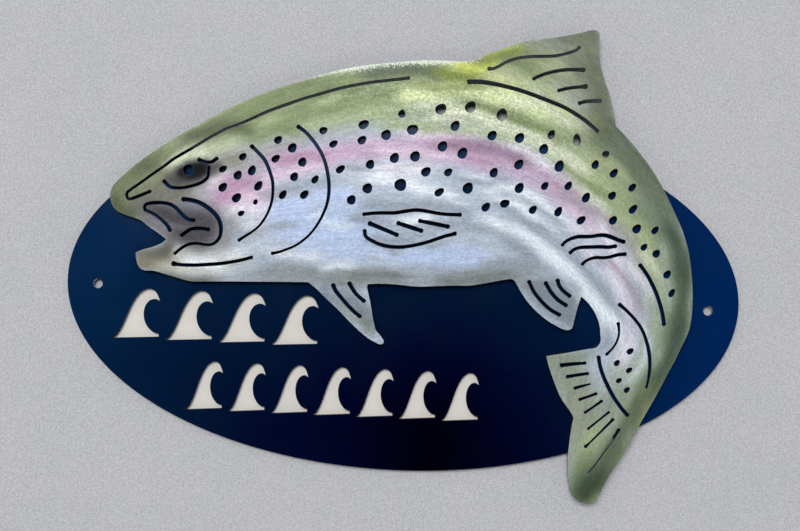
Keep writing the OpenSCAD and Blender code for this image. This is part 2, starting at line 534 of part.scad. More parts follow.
// Strip of bonding tape across the pale sheet, with its middle at this height
module tape_strip(left, right, middle)
    color("dimgray")
        sheet(-tape_thickness, tape_thickness)
            intersection() {
                backer_shape();
                translate([left, middle - tape_width / 2])
                    square([right - left, tape_width]);
            }
module upper_tape() tape_strip(upper_row[0], upper_row[1], backer_top - backer_border / 2);
module middle_tape() tape_strip(upper_row[0], lower_row[1], row_gap_middle);
module lower_tape() tape_strip(lower_row[0], lower_row[1], backer_foot + backer_border / 2);

// Threaded boss between the two plates
module boss(place)
    color("gray")
        difference() {
            bar(place, oval_thickness, fish_gap, boss_diameter, boss_diameter);
            bar(place, oval_thickness - past, fish_gap + 2 * past, screw_diameter,
                screw_diameter);
        }
module chin_boss() boss(chin_fix);
module gill_boss() boss(gill_fix);
module back_boss() boss(back_fix);
module belly_boss() boss(belly_fix);
module flank_boss() boss(flank_fix);
module tail_boss() boss(tail_fix);

// Countersunk screw from the back, flush with the oval plate
module screw(place)
    color("darkgray")
        difference() {
            union() {
                bar(place, 0, head_height, head_diameter, screw_diameter);
                bar(place, 0, screw_length, screw_diameter, screw_diameter);
            }
            translate([place[0], past, place[1] + oval_rise])
                rotate([90, 0, 0])
                    cylinder(h = past + socket_depth, d = socket_width / cos(30), $fn = 6);
        }
module chin_screw() screw(chin_fix);
module gill_screw() screw(gill_fix);
module back_screw() screw(back_fix);
module belly_screw() screw(belly_fix);
module flank_screw() screw(flank_fix);
module tail_screw() screw(tail_fix);

oval_plate();
fish_plate();
cutout_backer();
upper_tape();
middle_tape();
lower_tape();
chin_boss();
gill_boss();
back_boss();
belly_boss();
flank_boss();
tail_boss();
chin_screw();
gill_screw();
back_screw();
belly_screw();
flank_screw();
tail_screw();
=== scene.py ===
import math

import bpy
import numpy as np
from mathutils import Matrix, Vector
from mathutils.geometry import delaunay_2d_cdt


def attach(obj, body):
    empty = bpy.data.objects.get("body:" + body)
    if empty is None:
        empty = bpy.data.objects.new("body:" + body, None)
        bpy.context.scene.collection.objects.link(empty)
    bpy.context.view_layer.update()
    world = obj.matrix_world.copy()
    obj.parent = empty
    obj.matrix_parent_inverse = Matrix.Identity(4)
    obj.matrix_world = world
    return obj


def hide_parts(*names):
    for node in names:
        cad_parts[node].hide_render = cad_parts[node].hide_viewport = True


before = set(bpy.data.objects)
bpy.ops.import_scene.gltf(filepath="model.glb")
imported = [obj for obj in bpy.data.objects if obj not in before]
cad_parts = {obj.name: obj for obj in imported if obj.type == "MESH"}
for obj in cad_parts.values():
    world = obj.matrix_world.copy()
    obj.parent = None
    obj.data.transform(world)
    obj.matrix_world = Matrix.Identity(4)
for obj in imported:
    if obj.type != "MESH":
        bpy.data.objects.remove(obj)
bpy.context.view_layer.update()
scene = bpy.context.scene

# Sizes here are in millimetres in the sign's own frame, and become metres in the meshes
MM = 0.001
FACE, BEVEL, SIDE, SLOT, REAR = range(5)    # the kinds of face that a sheet piece has

# Edges and mesh
EDGE_CHAMFER = 0.22       # fine chamfer round every cut edge of the fish
OVAL_CHAMFER = 0.18
FISH_CORNERS = (32, 95)   # above these degrees a corner stays sharp: in the outline, in the cut-outs
OVAL_CORNERS = (20, 50)
LOOP_SPACING = 0.7        # distance between points along a cut edge
GRID_SPACING = 1.25       # distance between points on the painted face
GRID_MARGIN = 0.55        # and their least distance from its edges

# The oval's painted reflection: its dark centre, how far it reaches, and where the painted sheen of its
# lighter end and top begins and ends
DARK_REFLECTION_X, DARK_REFLECTION_Z = 28, -96
REFLECTION_LEFT, REFLECTION_RIGHT, REFLECTION_UP = 300, 190, 185
SHEEN_END = (110, 215)
SHEEN_TOP = (75, 125)

# Camera
OVAL_FRONT = -2.0
CAMERA_GAP = 529.4        # from the oval's front to the camera
AIM_X, AIM_Z = -2.96, 21.46
SIGN_TURN = 2.578         # the sign hangs this many degrees clockwise in the picture
LENS, SENSOR = 35.0, 36.0
NEAR, FAR = 0.01, 20

# Studio, in metres: the wall and the dark room behind the camera, each with its place and its left,
# right, foot and top, then the lamp and the sky
WALL_FACE = 0.00105
WALL_SPAN = (-0.7, 0.7, -0.48, 0.52)
DARK_FACE = -11.5
DARK_SPAN = (-17, 17, -11.5, 11.5)
LAMP_PLACE = (-2.3, -8.6, 4.5)
LAMP_POWER = 860
LAMP_SIZE = (6.6, 4.6)
SKY = (226, 227, 229)


# Paint colours, as red, green and blue from 0 to 255
BASE = "steel"
PAINT = {
    # The near white below serves for the ground metal's painted highlights
    "steel": (178, 190, 206), "ice": (181, 200, 234), "frost": (232, 240, 247),
    "blue_grey": (160, 172, 188), "slate": (146, 157, 170), "ash": (160, 160, 160),
    "belly": (136, 144, 147), "belly_dark": (114, 121, 121), "sage": (146, 160, 120),
    "moss": (126, 142, 96), "leaf": (166, 179, 138), "olive": (108, 120, 80), "olive_dark": (72, 82, 52),
    "lime": (216, 228, 172), "cream": (216, 223, 197), "acid": (200, 212, 100), "forest": (66, 84, 68),
    "forest_light": (108, 124, 104), "lead": (86, 98, 76), "pink": (199, 168, 197), "rose": (178, 140, 170),
    "blush": (224, 204, 222), "mauve": (146, 118, 142), "lilac": (188, 176, 198), "pearl": (222, 220, 230),
    "plum": (106, 101, 107), "night": (14, 14, 18), "fin": (137, 145, 121), "fin_dark": (97, 105, 84),
    "bone": (188, 189, 178), "clay": (95, 94, 86), "mist": (160, 171, 160), "khaki": (110, 116, 88),
    "dun": (108, 108, 95), "umber": (86, 86, 76), "taupe": (119, 113, 97), "pewter": (62, 59, 65),
    "shade": (58, 55, 56), "straw": (188, 196, 164), "dove": (136, 134, 120), "stone": (140, 141, 147),
    "fern": (112, 127, 81), "spring": (120, 134, 52), "pear": (150, 163, 108), "butter": (210, 212, 158),
    "pale_rose": (236, 205, 229), "mauve_grey": (164, 158, 168), "sky": (190, 206, 242),
    "fin_blue": (122, 134, 143), "grey_green": (134, 146, 130), "deep_olive": (58, 70, 48),
}

# Brush passes in their order, each with its colour, radius, strength and points, and last its firmness
# where it isn't soft. A point's own radius and strength may follow its x and z. A pass is worked out
# within its reach in radii, beyond which it hardly shows
SOFT = 2
SOFT_REACH, FIRM_REACH = 2.3, 1.7
STROKES = [
    # The broad fields of colour
    ("ice", 18, .85, [(-98, 50, 8, .2), (-82, 48, 14), (-60, 44), (-40, 44, 22), (-20, 40, 14), (0, 30, 8),
        (25, 29, 8), (48, 29, 8, .7), (62, 28, 6, .2)], 4),
    ("sage", 18, .97, [(-199, 62, 15), (-185, 68, 14), (-168, 82, 16), (-150, 97, 14), (-135, 104, 14),
        (-120, 110, 17), (-100, 119), (-80, 126, 19), (-60, 132, 20), (-40, 136, 22), (-20, 139, 23),
        (0, 141, 23), (20, 142, 23), (40, 141, 25), (60, 137, 26), (80, 128, 24), (100, 116, 22),
        (120, 101, 24), (138, 86, 22), (155, 66, 20), (168, 46, 18), (178, 22, 17), (182, 0, 14),
        (180, -20, 16), (174, -42, 15), (165, -62, 13), (152, -85, 16), (140, -108, 20),
        (134, -126, 20)], 4),
    ("khaki", 15, .92, [(-198, 60, 9), (-190, 66), (-180, 72), (-168, 78), (-158, 88, 14), (-148, 99, 11),
        (-136, 107, 9), (-124, 115, 8, .6), (-112, 123, 6, .3)], 3),
    ("fin", 20, .95, [(62, 172, 9, .3), (80, 168, 14), (98, 160, 20), (114, 158, 24), (118, 178, 22)], 4),
    ("mist", 12, .85, [(150, -30, 8, .2), (152, -44, 12), (148, -60, 14), (140, -74, 14)], 4),
    ("fin", 14, .8, [(104, -40, 12), (116, -52), (122, -68), (124, -84), (126, -100)], 4),
    ("belly", 7, .95, [(-120, 8, 5, .2), (-100, 10, 6, .7), (-80, 12), (-60, 12), (-40, 11), (-20, 12),
        (0, 12, 6, .7), (25, 12, 6, .6), (45, 14), (60, 19), (74, 22, 8), (88, 24, 8, .5),
        (95, 22, 8, .2)], 3),

    # The jaws and the cheek
    ("ash", 14, .8, [(-162, 60, 8, .6), (-148, 66, 9, .8), (-134, 64, 10, .8), (-120, 46, 10, .6),
        (-118, 56, 6, .2)], 3),
    ("sage", 5, .6, [(-182, 67), (-174, 71), (-164, 74)]),
    ("dun", 10, .9, [(-182, 55, 7), (-172, 60, 8), (-162, 64), (-154, 64, 8, .8), (-148, 63, 6, .5)], 3),
    ("ash", 8, .75, [(-125, 88, 6), (-112, 92), (-98, 95), (-84, 100, 6), (-70, 104, 5), (-55, 108, 5, .6),
        (-38, 111, 4, .4)], 3),
    ("bone", 9, .9, [(-176, 22, 6), (-166, 19, 8), (-150, 20), (-132, 21), (-114, 22, 8, .6),
        (-100, 22, 7, .2)], 3),
    ("umber", 6, .95, [(-184, 21, 3, .5), (-174, 21, 5, .8), (-165, 21, 7), (-161, 26, 5),
        (-158, 33, 4, .6)], 3),
    ("taupe", 5, .9, [(-188, 16), (-178, 15), (-168, 15), (-160, 15), (-152, 15)]),
    ("clay", 4, .8, [(-172, 8), (-160, 7), (-145, 5), (-132, 6), (-120, 8)]),
    ("bone", 4, .8, [(-172, 14), (-162, 14), (-150, 13), (-140, 12), (-128, 13), (-115, 13)]),
    # Painted highlights of the ground metal along the lower jaw
    ("frost", 5, .9, [(-151, 18), (-144, 18), (-136, 18), (-128, 16), (-118, 14)]),
    ("frost", 4, .8, [(-132, 22), (-120, 24), (-108, 26), (-100, 28), (-92, 28)]),
    ("pewter", 10, .97, [(-173, 52, 6, .85), (-166, 50, 7), (-155, 47, 9), (-145, 46, 11), (-135, 43, 13),
        (-138, 37, 12), (-150, 36, 8), (-157, 39, 6, .8)], 3),
    ("plum", 3, .6, [(-158, 56), (-150, 58), (-142, 58), (-136, 55)]),
    ("plum", 4, .9, [(-184, 50), (-175, 44), (-168, 40), (-162, 36), (-157, 31)]),
    ("stone", 6, .85, [(-126, 24), (-122, 32), (-119, 41), (-119, 49), (-124, 58)]),

    # The cheek's pink
    ("lilac", 11, .7, [(-128, 68, 7, .5), (-118, 66), (-104, 66), (-96, 62, 9, .4)], 3),
    ("blush", 8, .8, [(-138, 66), (-128, 74), (-116, 64, 9, .6), (-106, 64), (-98, 70), (-96, 80)]),
    ("rose", 9, 1, [(-130, 60), (-122, 66), (-112, 72), (-104, 74, 8, .7), (-98, 78)]),
    ("pink", 4, .7, [(-128, 64), (-120, 61), (-112, 57), (-104, 59), (-97, 63), (-92, 68)]),
    ("mauve_grey", 4.5, .8, [(-114, 80), (-106, 83), (-98, 88), (-90, 95), (-80, 98)]),
    ("pale_rose", 4, .6, [(-120, 64), (-113, 64), (-107, 63), (-102, 61), (-97, 60)]),
    ("pearl", 5.5, .9, [(-124, 52), (-116, 54), (-106, 56), (-99, 55), (-92, 54)]),
    ("rose", 4, .6, [(-133, 67), (-126, 63), (-119, 62), (-113, 64)]),
    ("blush", 3.5, .9, [(-100, 76), (-92, 78), (-86, 79), (-80, 81)]),
    ("mauve_grey", 3.5, .8, [(-106, 66), (-97, 65), (-89, 66), (-76, 68)]),
    ("pearl", 6, .8, [(-112, 46), (-104, 44), (-98, 42), (-92, 42)]),

    # The pink band
    ("pink", 9, .92, [(-100, 86, 6, .2), (-88, 86, 8, .7), (-75, 88, 8), (-60, 92, 8), (-45, 96, 8),
        (-30, 99, 8), (-15, 101, 8), (0, 101, 8), (20, 101, 9), (40, 99, 10), (55, 96, 10), (70, 93),
        (85, 87), (100, 78), (112, 71), (122, 63, 8), (132, 54, 7, .7), (142, 44, 6, .3)], 3),
    ("rose", 5, .9, [(-96, 90), (-84, 89), (-74, 92), (-64, 93, 4), (-54, 95, 4)]),
    ("blush", 4.5, .7, [(-94, 82), (-84, 79), (-74, 83), (-66, 86), (-58, 89), (-46, 91)]),
    ("blush", 4, .9, [(-30, 105), (-14, 98), (-4, 98), (8, 97), (18, 98), (28, 98), (36, 96)]),
    ("mauve", 5, .95, [(8, 104), (24, 105), (36, 104), (46, 104), (56, 103), (66, 101), (76, 99),
        (88, 97)]),
    ("rose", 4, .7, [(32, 99), (44, 96), (52, 95), (60, 94), (68, 93), (76, 90)]),
    ("lilac", 5, .8, [(50, 91), (62, 92), (74, 88), (84, 84), (92, 82), (104, 76)]),
    ("rose", 4, .45, [(84, 90), (96, 84), (106, 78), (116, 72), (126, 64), (134, 58)]),
    ("blush", 3.5, .7, [(-10, 111), (0, 111), (12, 110), (20, 110), (28, 110), (36, 110), (46, 110)]),
    ("pearl", 4, .9, [(58, 107), (68, 105), (76, 104), (84, 99), (92, 95), (100, 90), (108, 86),
        (114, 82)]),
    ("pearl", 3, .7, [(28, 114), (40, 114), (52, 115), (62, 114), (70, 112)]),
    ("mauve", 3.5, .6, [(26, 109), (34, 108), (42, 106)]),
    ("mauve", 4, .5, [(56, 102), (66, 100), (76, 95), (84, 90)]),
    ("mauve_grey", 3, .8, [(-2, 97), (6, 95), (14, 93)]),
    ("mauve_grey", 3, .8, [(96, 92), (103, 89), (110, 84)]),
    ("rose", 4, .6, [(-70, 89), (-60, 91), (-48, 91)]),
    ("blush", 4, .6, [(96, 68), (106, 65), (114, 62), (122, 55), (130, 50), (138, 45)]),
    ("mauve_grey", 5, .85, [(100, 78), (108, 74), (116, 71), (124, 65), (132, 58), (139, 52), (145, 45)]),

    # White and grey streaks along the side: the ground metal's sheen, painted in as highlights and darker
    # bands
    ("pearl", 6, .95, [(-52, 78), (-36, 82), (-24, 82), (-12, 87), (0, 86), (10, 87), (20, 84)]),
    ("steel", 6, .7, [(-50, 78, 4, .4), (-38, 77), (-24, 74), (-8, 68)], 3),
    ("frost", 5, .95, [(-32, 80), (-22, 80), (-10, 79), (0, 77), (10, 74), (20, 74), (28, 71), (36, 70)]),
    ("slate", 4, .9, [(-34, 58), (-24, 62), (-10, 61), (2, 61), (14, 62), (26, 62), (36, 61), (48, 59)]),
    ("slate", 4, .7, [(34, 55), (42, 50), (50, 50), (60, 48), (68, 44), (76, 38), (86, 30), (92, 24)]),
    ("steel", 5, .8, [(10, 80), (22, 80), (34, 78), (44, 75), (56, 72), (66, 71), (78, 66)]),
    ("slate", 2.2, .7, [(26, 84), (38, 82), (50, 79), (62, 76), (74, 72), (84, 68), (94, 62), (104, 56),
        (112, 52)]),
    ("frost", 3, .8, [(46, 76), (56, 75), (66, 77), (76, 74), (86, 71), (94, 66), (102, 61), (110, 56),
        (118, 51)]),
    ("frost", 3.5, .95, [(52, 70), (62, 68), (74, 66), (84, 59), (92, 53), (99, 47), (106, 42)]),
    ("slate", 3, .75, [(50, 67), (62, 65), (74, 59), (84, 52), (93, 45), (102, 39), (110, 34)]),
    ("frost", 4, .85, [(46, 58), (56, 55), (66, 51), (76, 48), (84, 44), (92, 38), (100, 32), (108, 28)]),
    ("slate", 3.5, .6, [(62, 44), (72, 38), (80, 36), (88, 30), (96, 24), (102, 18), (108, 14)]),
    ("frost", 6, .95, [(86, 42), (98, 34), (108, 27), (116, 19), (124, 10), (131, 2), (136, -4), (141, -12),
        (146, -20)]),
    ("slate", 4.5, .75, [(98, 48), (106, 40), (114, 33), (122, 25), (130, 16), (137, 9), (143, 1),
        (148, -6), (150, -12)]),
    ("pearl", 5, .8, [(118, 42), (126, 36), (134, 28), (141, 20), (146, 12), (150, 4), (154, -5),
        (157, -14)]),
    ("frost", 3.5, .8, [(136, -2), (143, -8), (148, -16), (150, -24), (146, -34)]),
    ("slate", 4, .7, [(138, -10), (139, -19), (138, -26), (128, -32)]),
    ("slate", 2.5, .7, [(127, 35), (132, 30), (137, 25)]),
    ("pearl", 4, .95, [(126, 60), (132, 53), (139, 41), (144, 28), (146, 17), (149, 6)]),
    ("mauve", 2.4, .5, [(132, 34), (140, 29), (147, 22), (152, 15), (157, 8), (161, 1), (163, -6)]),
    ("pearl", 3.5, .9, [(146, 35), (152, 29), (157, 23), (163, 16), (167, 7), (169, -2)]),
    ("mauve_grey", 3, .7, [(152, 18), (157, 11), (160, 3), (158, -7)]),
    ("lilac", 5, .5, [(150, 12), (156, 0), (158, -8), (155, -16), (150, -22)]),
    ("pearl", 5, .85, [(150, -14), (154, -22), (154, -29), (150, -35), (146, -40)]),
    ("mist", 6, .8, [(162, 14), (168, 2), (170, -8), (170, -20), (167, -32), (163, -44)]),
    ("frost", 3, .5, [(169, -16), (168, -25), (165, -34), (160, -44), (150, -52)]),
    ("frost", 2, .5, [(160, -6), (164, -14), (166, -24), (166, -34), (165, -42)]),
    ("blue_grey", 7, .8, [(-112, 30), (-100, 24), (-88, 20), (-72, 20), (-56, 20)]),
    ("slate", 4, .7, [(-92, 66), (-84, 69), (-74, 71), (-64, 73), (-54, 76), (-46, 78)]),
    ("sky", 5, .9, [(-94, 56), (-84, 58), (-74, 60), (-62, 65), (-52, 68), (-42, 69), (-32, 65)]),
    ("slate", 3.5, .7, [(-118, 40), (-110, 37), (-102, 39), (-92, 43), (-82, 45), (-70, 47)]),
    ("frost", 3, .5, [(-68, 50), (-60, 53), (-52, 47), (-42, 46), (-32, 48)]),
    ("slate", 2.5, .8, [(-48, 86), (-38, 86), (-30, 85), (-21, 84)]),
    ("slate", 4, .9, [(-42, 53), (-32, 52), (-22, 52), (-12, 51)]),
    ("frost", 3.5, .6, [(-98, 27), (-86, 26), (-74, 25), (-62, 25), (-52, 24)]),
    ("belly", 4, .8, [(-100, 15), (-90, 15), (-80, 16), (-70, 15), (-60, 14), (-50, 16)]),
    ("frost", 3, .7, [(-60, 16), (-52, 18), (-45, 20), (-38, 19), (-30, 20)]),
    ("slate", 5, .6, [(-26, 54), (-14, 50), (0, 50), (12, 47), (24, 46)]),
    ("frost", 3.5, .95, [(-10, 54), (0, 51), (8, 54), (14, 55), (20, 56)]),
    ("slate", 4, .9, [(-30, 40), (-22, 38), (-14, 37), (-8, 32), (0, 33)]),
    ("slate", 2.5, .6, [(54, 85), (62, 84), (70, 81)]),
    ("slate", 3.5, .9, [(14, 51), (22, 49), (30, 51), (44, 53)]),
    ("slate", 3, .7, [(4, 37), (14, 36), (22, 36), (30, 40)]),
    ("frost", 2.5, .6, [(28, 66), (36, 66), (44, 63)]),
    ("frost", 2.2, .5, [(32, 85), (41, 84), (50, 84), (57, 81)]),
    ("frost", 3, .8, [(70, 79), (78, 76), (86, 72), (96, 67)]),
    ("pearl", 3, .8, [(104, 50), (112, 52), (120, 49), (127, 43)]),
    ("steel", 3, .7, [(103, 45), (110, 40), (116, 34)]),
    ("slate", 3, .8, [(80, 55), (89, 53), (96, 48), (103, 42)]),
    ("slate", 4, .8, [(-22, 40), (-10, 38), (4, 39), (14, 42)]),
    ("slate", 3, .6, [(-4, 18), (10, 20), (24, 20), (36, 19), (48, 20)]),
    ("belly_dark", 4, .8, [(-52, 8), (-38, 12), (-26, 14), (-14, 15), (-4, 14), (4, 13)]),
    ("belly_dark", 5, .8, [(18, 12), (28, 12), (38, 12), (46, 14), (58, 15), (68, 16), (78, 18)]),
    ("slate", 4, .7, [(48, 26), (56, 24), (66, 26), (76, 24), (86, 22)]),

    # The back's greens
    ("moss", 6.5, .8, [(-124, 108), (-114, 109), (-104, 105), (-94, 109), (-82, 115), (-70, 120),
        (-56, 124), (-44, 128), (-34, 130), (-22, 132), (-12, 132)]),
    ("fern", 5, .9, [(-130, 114), (-120, 119), (-110, 125), (-98, 130), (-84, 136), (-72, 141), (-58, 145),
        (-44, 148)]),
    ("fern", 5, .8, [(-120, 115), (-110, 118), (-98, 122), (-88, 127), (-78, 131), (-66, 134), (-54, 138),
        (-42, 140), (-32, 136)]),
    ("fern", 4, .7, [(-94, 110), (-84, 110), (-76, 109), (-68, 112)]),
    ("leaf", 3.5, .8, [(-104, 112), (-96, 116), (-86, 122), (-76, 127), (-66, 129), (-54, 133),
        (-44, 136)]),
    ("leaf", 4, .8, [(-80, 106), (-68, 113), (-56, 116), (-44, 119), (-30, 122), (-16, 122), (-4, 122)]),
    ("leaf", 4, .6, [(-42, 124), (-28, 127), (-14, 128), (-2, 130)]),
    ("moss", 4, .6, [(-30, 136), (-20, 138), (-10, 138), (0, 138)]),
    ("leaf", 4, .8, [(-24, 112), (-12, 116), (0, 117), (14, 118), (26, 120)]),
    ("cream", 3.5, .9, [(8, 122), (18, 123), (26, 126), (34, 127), (44, 125), (54, 123), (64, 121),
        (74, 118), (84, 113), (92, 109), (99, 103), (106, 97), (115, 91), (122, 84), (128, 76)]),
    ("cream", 4, .8, [(38, 121), (50, 120), (60, 117), (68, 114), (78, 110), (88, 104)]),
    ("leaf", 3.5, .7, [(0, 113), (14, 114), (28, 115), (40, 115), (52, 114), (62, 112), (74, 108)]),
    ("lime", 6, 1, [(-10, 136), (-4, 136), (2, 137), (14, 138), (24, 142), (34, 143), (46, 141), (56, 138),
        (66, 137), (76, 134), (85, 131), (94, 128), (102, 127), (112, 124)]),
    ("cream", 4, .7, [(60, 139), (70, 136), (80, 135), (88, 133)]),
    ("leaf", 4, .8, [(88, 124), (98, 126), (106, 125), (114, 121), (122, 115)]),
    ("cream", 3.5, .7, [(-4, 129), (6, 130), (16, 132), (26, 132), (34, 131)]),
    ("moss", 2.6, .95, [(34, 135), (40, 133), (47, 131), (54, 129), (62, 127), (70, 123), (78, 121),
        (86, 119)]),
    ("olive", 2, .5, [(36, 135), (46, 132), (56, 129), (64, 126), (72, 123)]),
    ("leaf", 4, .7, [(102, 108), (110, 105), (118, 102), (128, 98), (136, 94)]),
    ("moss", 3, .6, [(96, 100), (104, 94), (112, 88), (118, 84), (124, 79), (130, 76)]),
    ("leaf", 5, .9, [(114, 96), (122, 90), (130, 84), (137, 79), (144, 70)]),
    ("cream", 3.5, .9, [(98, 107), (105, 102), (112, 97), (118, 93), (124, 88)]),
    ("cream", 3, .7, [(80, 110), (88, 107), (96, 102), (102, 97)]),
    ("moss", 3, .9, [(113, 87), (119, 83), (126, 79), (134, 74), (144, 76)]),
    ("moss", 3, .8, [(64, 128), (73, 125), (82, 120), (92, 117), (100, 118)]),
    ("cream", 3, .7, [(28, 129), (38, 128), (46, 127), (54, 125)]),
    ("cream", 3, .6, [(24, 121), (32, 121), (40, 120)]),
    ("cream", 4, .65, [(74, 147), (82, 145), (92, 144), (99, 141), (106, 136)]),
    ("cream", 3.5, .7, [(76, 138), (85, 137), (92, 132), (101, 126), (110, 122), (118, 119), (126, 114)]),
    ("leaf", 4, .7, [(128, 104), (136, 99), (144, 92), (151, 86), (157, 78), (163, 70)]),
    ("cream", 4, .7, [(112, 84), (118, 78), (125, 72), (132, 68), (138, 62)]),
    ("leaf", 6, .6, [(136, 68), (144, 62), (152, 54), (158, 46), (164, 40)]),
    ("leaf", 6, .8, [(146, 60), (154, 50), (162, 42), (166, 34), (170, 26)]),
    ("ash", 5, .7, [(140, 58), (148, 50), (154, 42), (158, 34), (164, 26)]),
    ("cream", 4, .7, [(156, 40), (162, 36), (166, 31), (172, 24), (175, 18), (178, 10)]),
    ("cream", 3.5, .5, [(172, 16), (177, 10), (180, 4), (181, -4)]),

    # The darker upper edge, and a painted highlight along its rim
    ("olive", 7, .75, [(-200, 58, 6), (-190, 72, 6), (-178, 84, 7), (-168, 94, 6), (-158, 101, 6),
        (-146, 107, 6), (-134, 113, 6), (-122, 120, 6, .5), (-112, 126, 5, .2)], 3),
    ("olive_dark", 6, .9, [(-198, 60), (-197, 55), (-192, 50), (-186, 48), (-178, 48)]),
    ("olive_dark", 5, .6, [(-186, 74), (-180, 80), (-174, 83), (-168, 88)]),
    ("olive_dark", 4.5, .8, [(-171, 89), (-163, 94), (-155, 97), (-148, 102), (-140, 104), (-131, 107),
        (-122, 110), (-113, 109), (-104, 105)]),
    ("sage", 5, .8, [(-172, 90), (-164, 94), (-158, 98), (-152, 99)]),
    ("moss", 5, .8, [(-130, 116), (-118, 122), (-106, 127), (-96, 132), (-86, 136), (-76, 139)]),
    ("fern", 4, .6, [(-104, 129), (-92, 134), (-80, 139)]),
    ("fern", 4, .6, [(-96, 118), (-88, 122), (-80, 124), (-62, 134), (-54, 139), (-48, 144), (-42, 147)]),
    ("moss", 6, .7, [(-66, 142), (-52, 145), (-40, 147), (-28, 149), (-16, 150)]),
    ("olive", 6, .7, [(-40, 150), (-28, 151), (-16, 152), (-4, 153), (8, 154), (18, 154)]),
    ("lead", 5, .95, [(-36, 150), (-26, 152), (-14, 154), (-4, 154), (6, 154), (14, 153), (22, 152)]),
    ("pear", 4, .95, [(-6, 145), (6, 145), (18, 142), (28, 143), (38, 145), (46, 145), (51, 149)]),
    ("lime", 3.5, .9, [(54, 142), (60, 144), (67, 143), (75, 141)]),
    ("leaf", 2, .7, [(-156, 103), (-146, 109), (-137, 115), (-127, 121), (-120, 125), (-114, 128),
        (-102, 134), (-88, 140), (-76, 144)]),
    # A thin painted highlight along the back's top edge
    ("cream", 1.5, .8, [(-90, 140), (-74, 145), (-60, 149), (-46, 152), (-30, 155.5), (-14, 158), (2, 160),
        (18, 161), (32, 162), (44, 164)]),
    ("acid", 5.5, 1, [(20, 162), (30, 160), (38, 158), (46, 158), (54, 161), (62, 165)]),
    ("spring", 4.5, 1, [(10, 154), (18, 153), (24, 151), (32, 151), (40, 151), (47, 149)]),
    ("acid", 4, .8, [(28, 157), (36, 157), (44, 157), (52, 160)]),
    ("butter", 5, .95, [(50, 154), (57, 152), (64, 152), (72, 150), (80, 148)]),
    ("spring", 4.5, .95, [(36, 164), (42, 163), (48, 163), (56, 166), (63, 168), (70, 169), (78, 170)]),
    ("acid", 2, .4, [(46, 165), (54, 168), (61, 171), (68, 173), (74, 175)]),
    ("olive", 5, .8, [(56, 160), (65, 162), (73, 161), (84, 162), (94, 163)]),
    ("leaf", 5, .8, [(56, 154), (66, 156), (74, 152), (84, 148), (94, 144), (104, 140)]),
    ("moss", 4, .8, [(66, 159), (74, 157), (86, 155), (94, 152)]),
    ("leaf", 6, .7, [(80, 164), (90, 162), (100, 158), (108, 154)]),
    ("fin_dark", 9, .85, [(118, 186, 9, .5), (119, 172, 9, .6), (122, 160, 9), (126, 148, 10),
        (128, 136, 10), (132, 122, 9)], 3),
    ("fin_dark", 5, .6, [(122, 150), (127, 140), (130, 128), (134, 118), (140, 112)]),
    ("fin_dark", 4.5, .6, [(98, 172), (106, 167), (111, 159), (110, 151)]),
    ("fin_dark", 6, .7, [(84, 181), (96, 180), (108, 181), (118, 184), (121, 176)]),
    ("olive", 6, .6, [(114, 132), (122, 128), (130, 120), (138, 112)]),
    ("fin_dark", 6, .6, [(112, 120), (122, 116), (130, 108), (136, 100)]),

    # The tail's outer edge
    ("lead", 3.5, .9, [(130, 130), (138, 122), (146, 112), (153, 104), (161, 95), (168, 86), (175, 77),
        (181, 67), (187, 55)]),
    ("lead", 7, .8, [(132, 116, 6, .6), (142, 106), (150, 98), (158, 88), (165, 78, 7), (172, 68, 6),
        (178, 58, 6, .4)], 3),
    ("forest_light", 9, .7, [(154, 84, 7, .3), (164, 66), (174, 54), (180, 40), (184, 20, 10), (186, 0, 9),
        (184, -20, 10), (178, -38, 10), (170, -54, 9)], 3),
    ("forest", 5.5, .95, [(172, 64), (179, 52), (184, 42), (186, 32), (187, 22), (188, 10)]),
    ("forest", 6, .95, [(188, 2), (187, -10), (185, -22), (181, -34), (176, -44), (170, -54), (164, -64)]),
    ("mist", 4, .7, [(171, 48), (174, 39), (175, 30), (177, 22), (179, 14), (179, 5), (176, -4)]),
    ("mist", 4, .6, [(171, -20), (174, -27), (173, -34), (170, -42)]),
    ("forest", 4, .8, [(187, 48), (190, 36), (191, 24), (189, 10), (188, -2), (188, -14), (186, -28)]),
    ("olive", 6, .7, [(172, -44), (168, -54), (163, -62), (158, -70), (152, -78)]),
    ("lead", 7, .8, [(166, -62, 6, .3), (160, -72, 6, .7), (154, -84), (148, -96), (143, -108),
        (138, -118)], 3),
    ("lead", 5, .6, [(150, -84), (145, -94), (140, -104), (136, -114), (131, -122)]),
    ("leaf", 6, .7, [(136, -76), (133, -86), (128, -96), (124, -104)]),
    ("moss", 5, .7, [(132, -98), (128, -106), (124, -114), (122, -120)]),
    ("forest", 9, 1, [(138, -108), (132, -118), (127, -125), (124, -132)]),
    ("deep_olive", 5, .85, [(142, -110), (137, -117), (132, -123), (128, -128), (122, -133)]),
    ("grey_green", 6, .7, [(158, -58), (150, -60), (144, -64), (142, -71), (136, -79)]),
    ("leaf", 4, .6, [(131, -80), (130, -88), (128, -95)]),
    ("lead", 3, .7, [(161, -56), (161, -63), (158, -70)]),
    ("grey_green", 4, .7, [(160, -80), (157, -88), (155, -95)]),
    ("grey_green", 5, .8, [(100, -38), (108, -38), (116, -36), (124, -34), (130, -31)]),
    ("mist", 4, .5, [(118, -80), (118, -92), (118, -104), (119, -114)]),
    ("forest_light", 2, .6, [(182, 60), (189, 44), (194, 26), (196, 8), (195, -10), (190, -24)]),

    # The lower fins
    ("fin_blue", 9, .9, [(-46, 4, 5, .3), (-38, -4, 8), (-28, -12, 9), (-20, -18, 7)], 3),
    ("mist", 2.5, .8, [(-46, -2), (-38, -10), (-30, -16), (-24, -22), (-18, -24)]),
    ("fin_blue", 12, .9, [(84, 12, 6, .3), (92, 6, 10), (102, 0), (112, -8, 9)], 3),
    ("steel", 3.5, .6, [(78, 12), (86, 0), (96, -9), (106, -15), (113, -17)]),
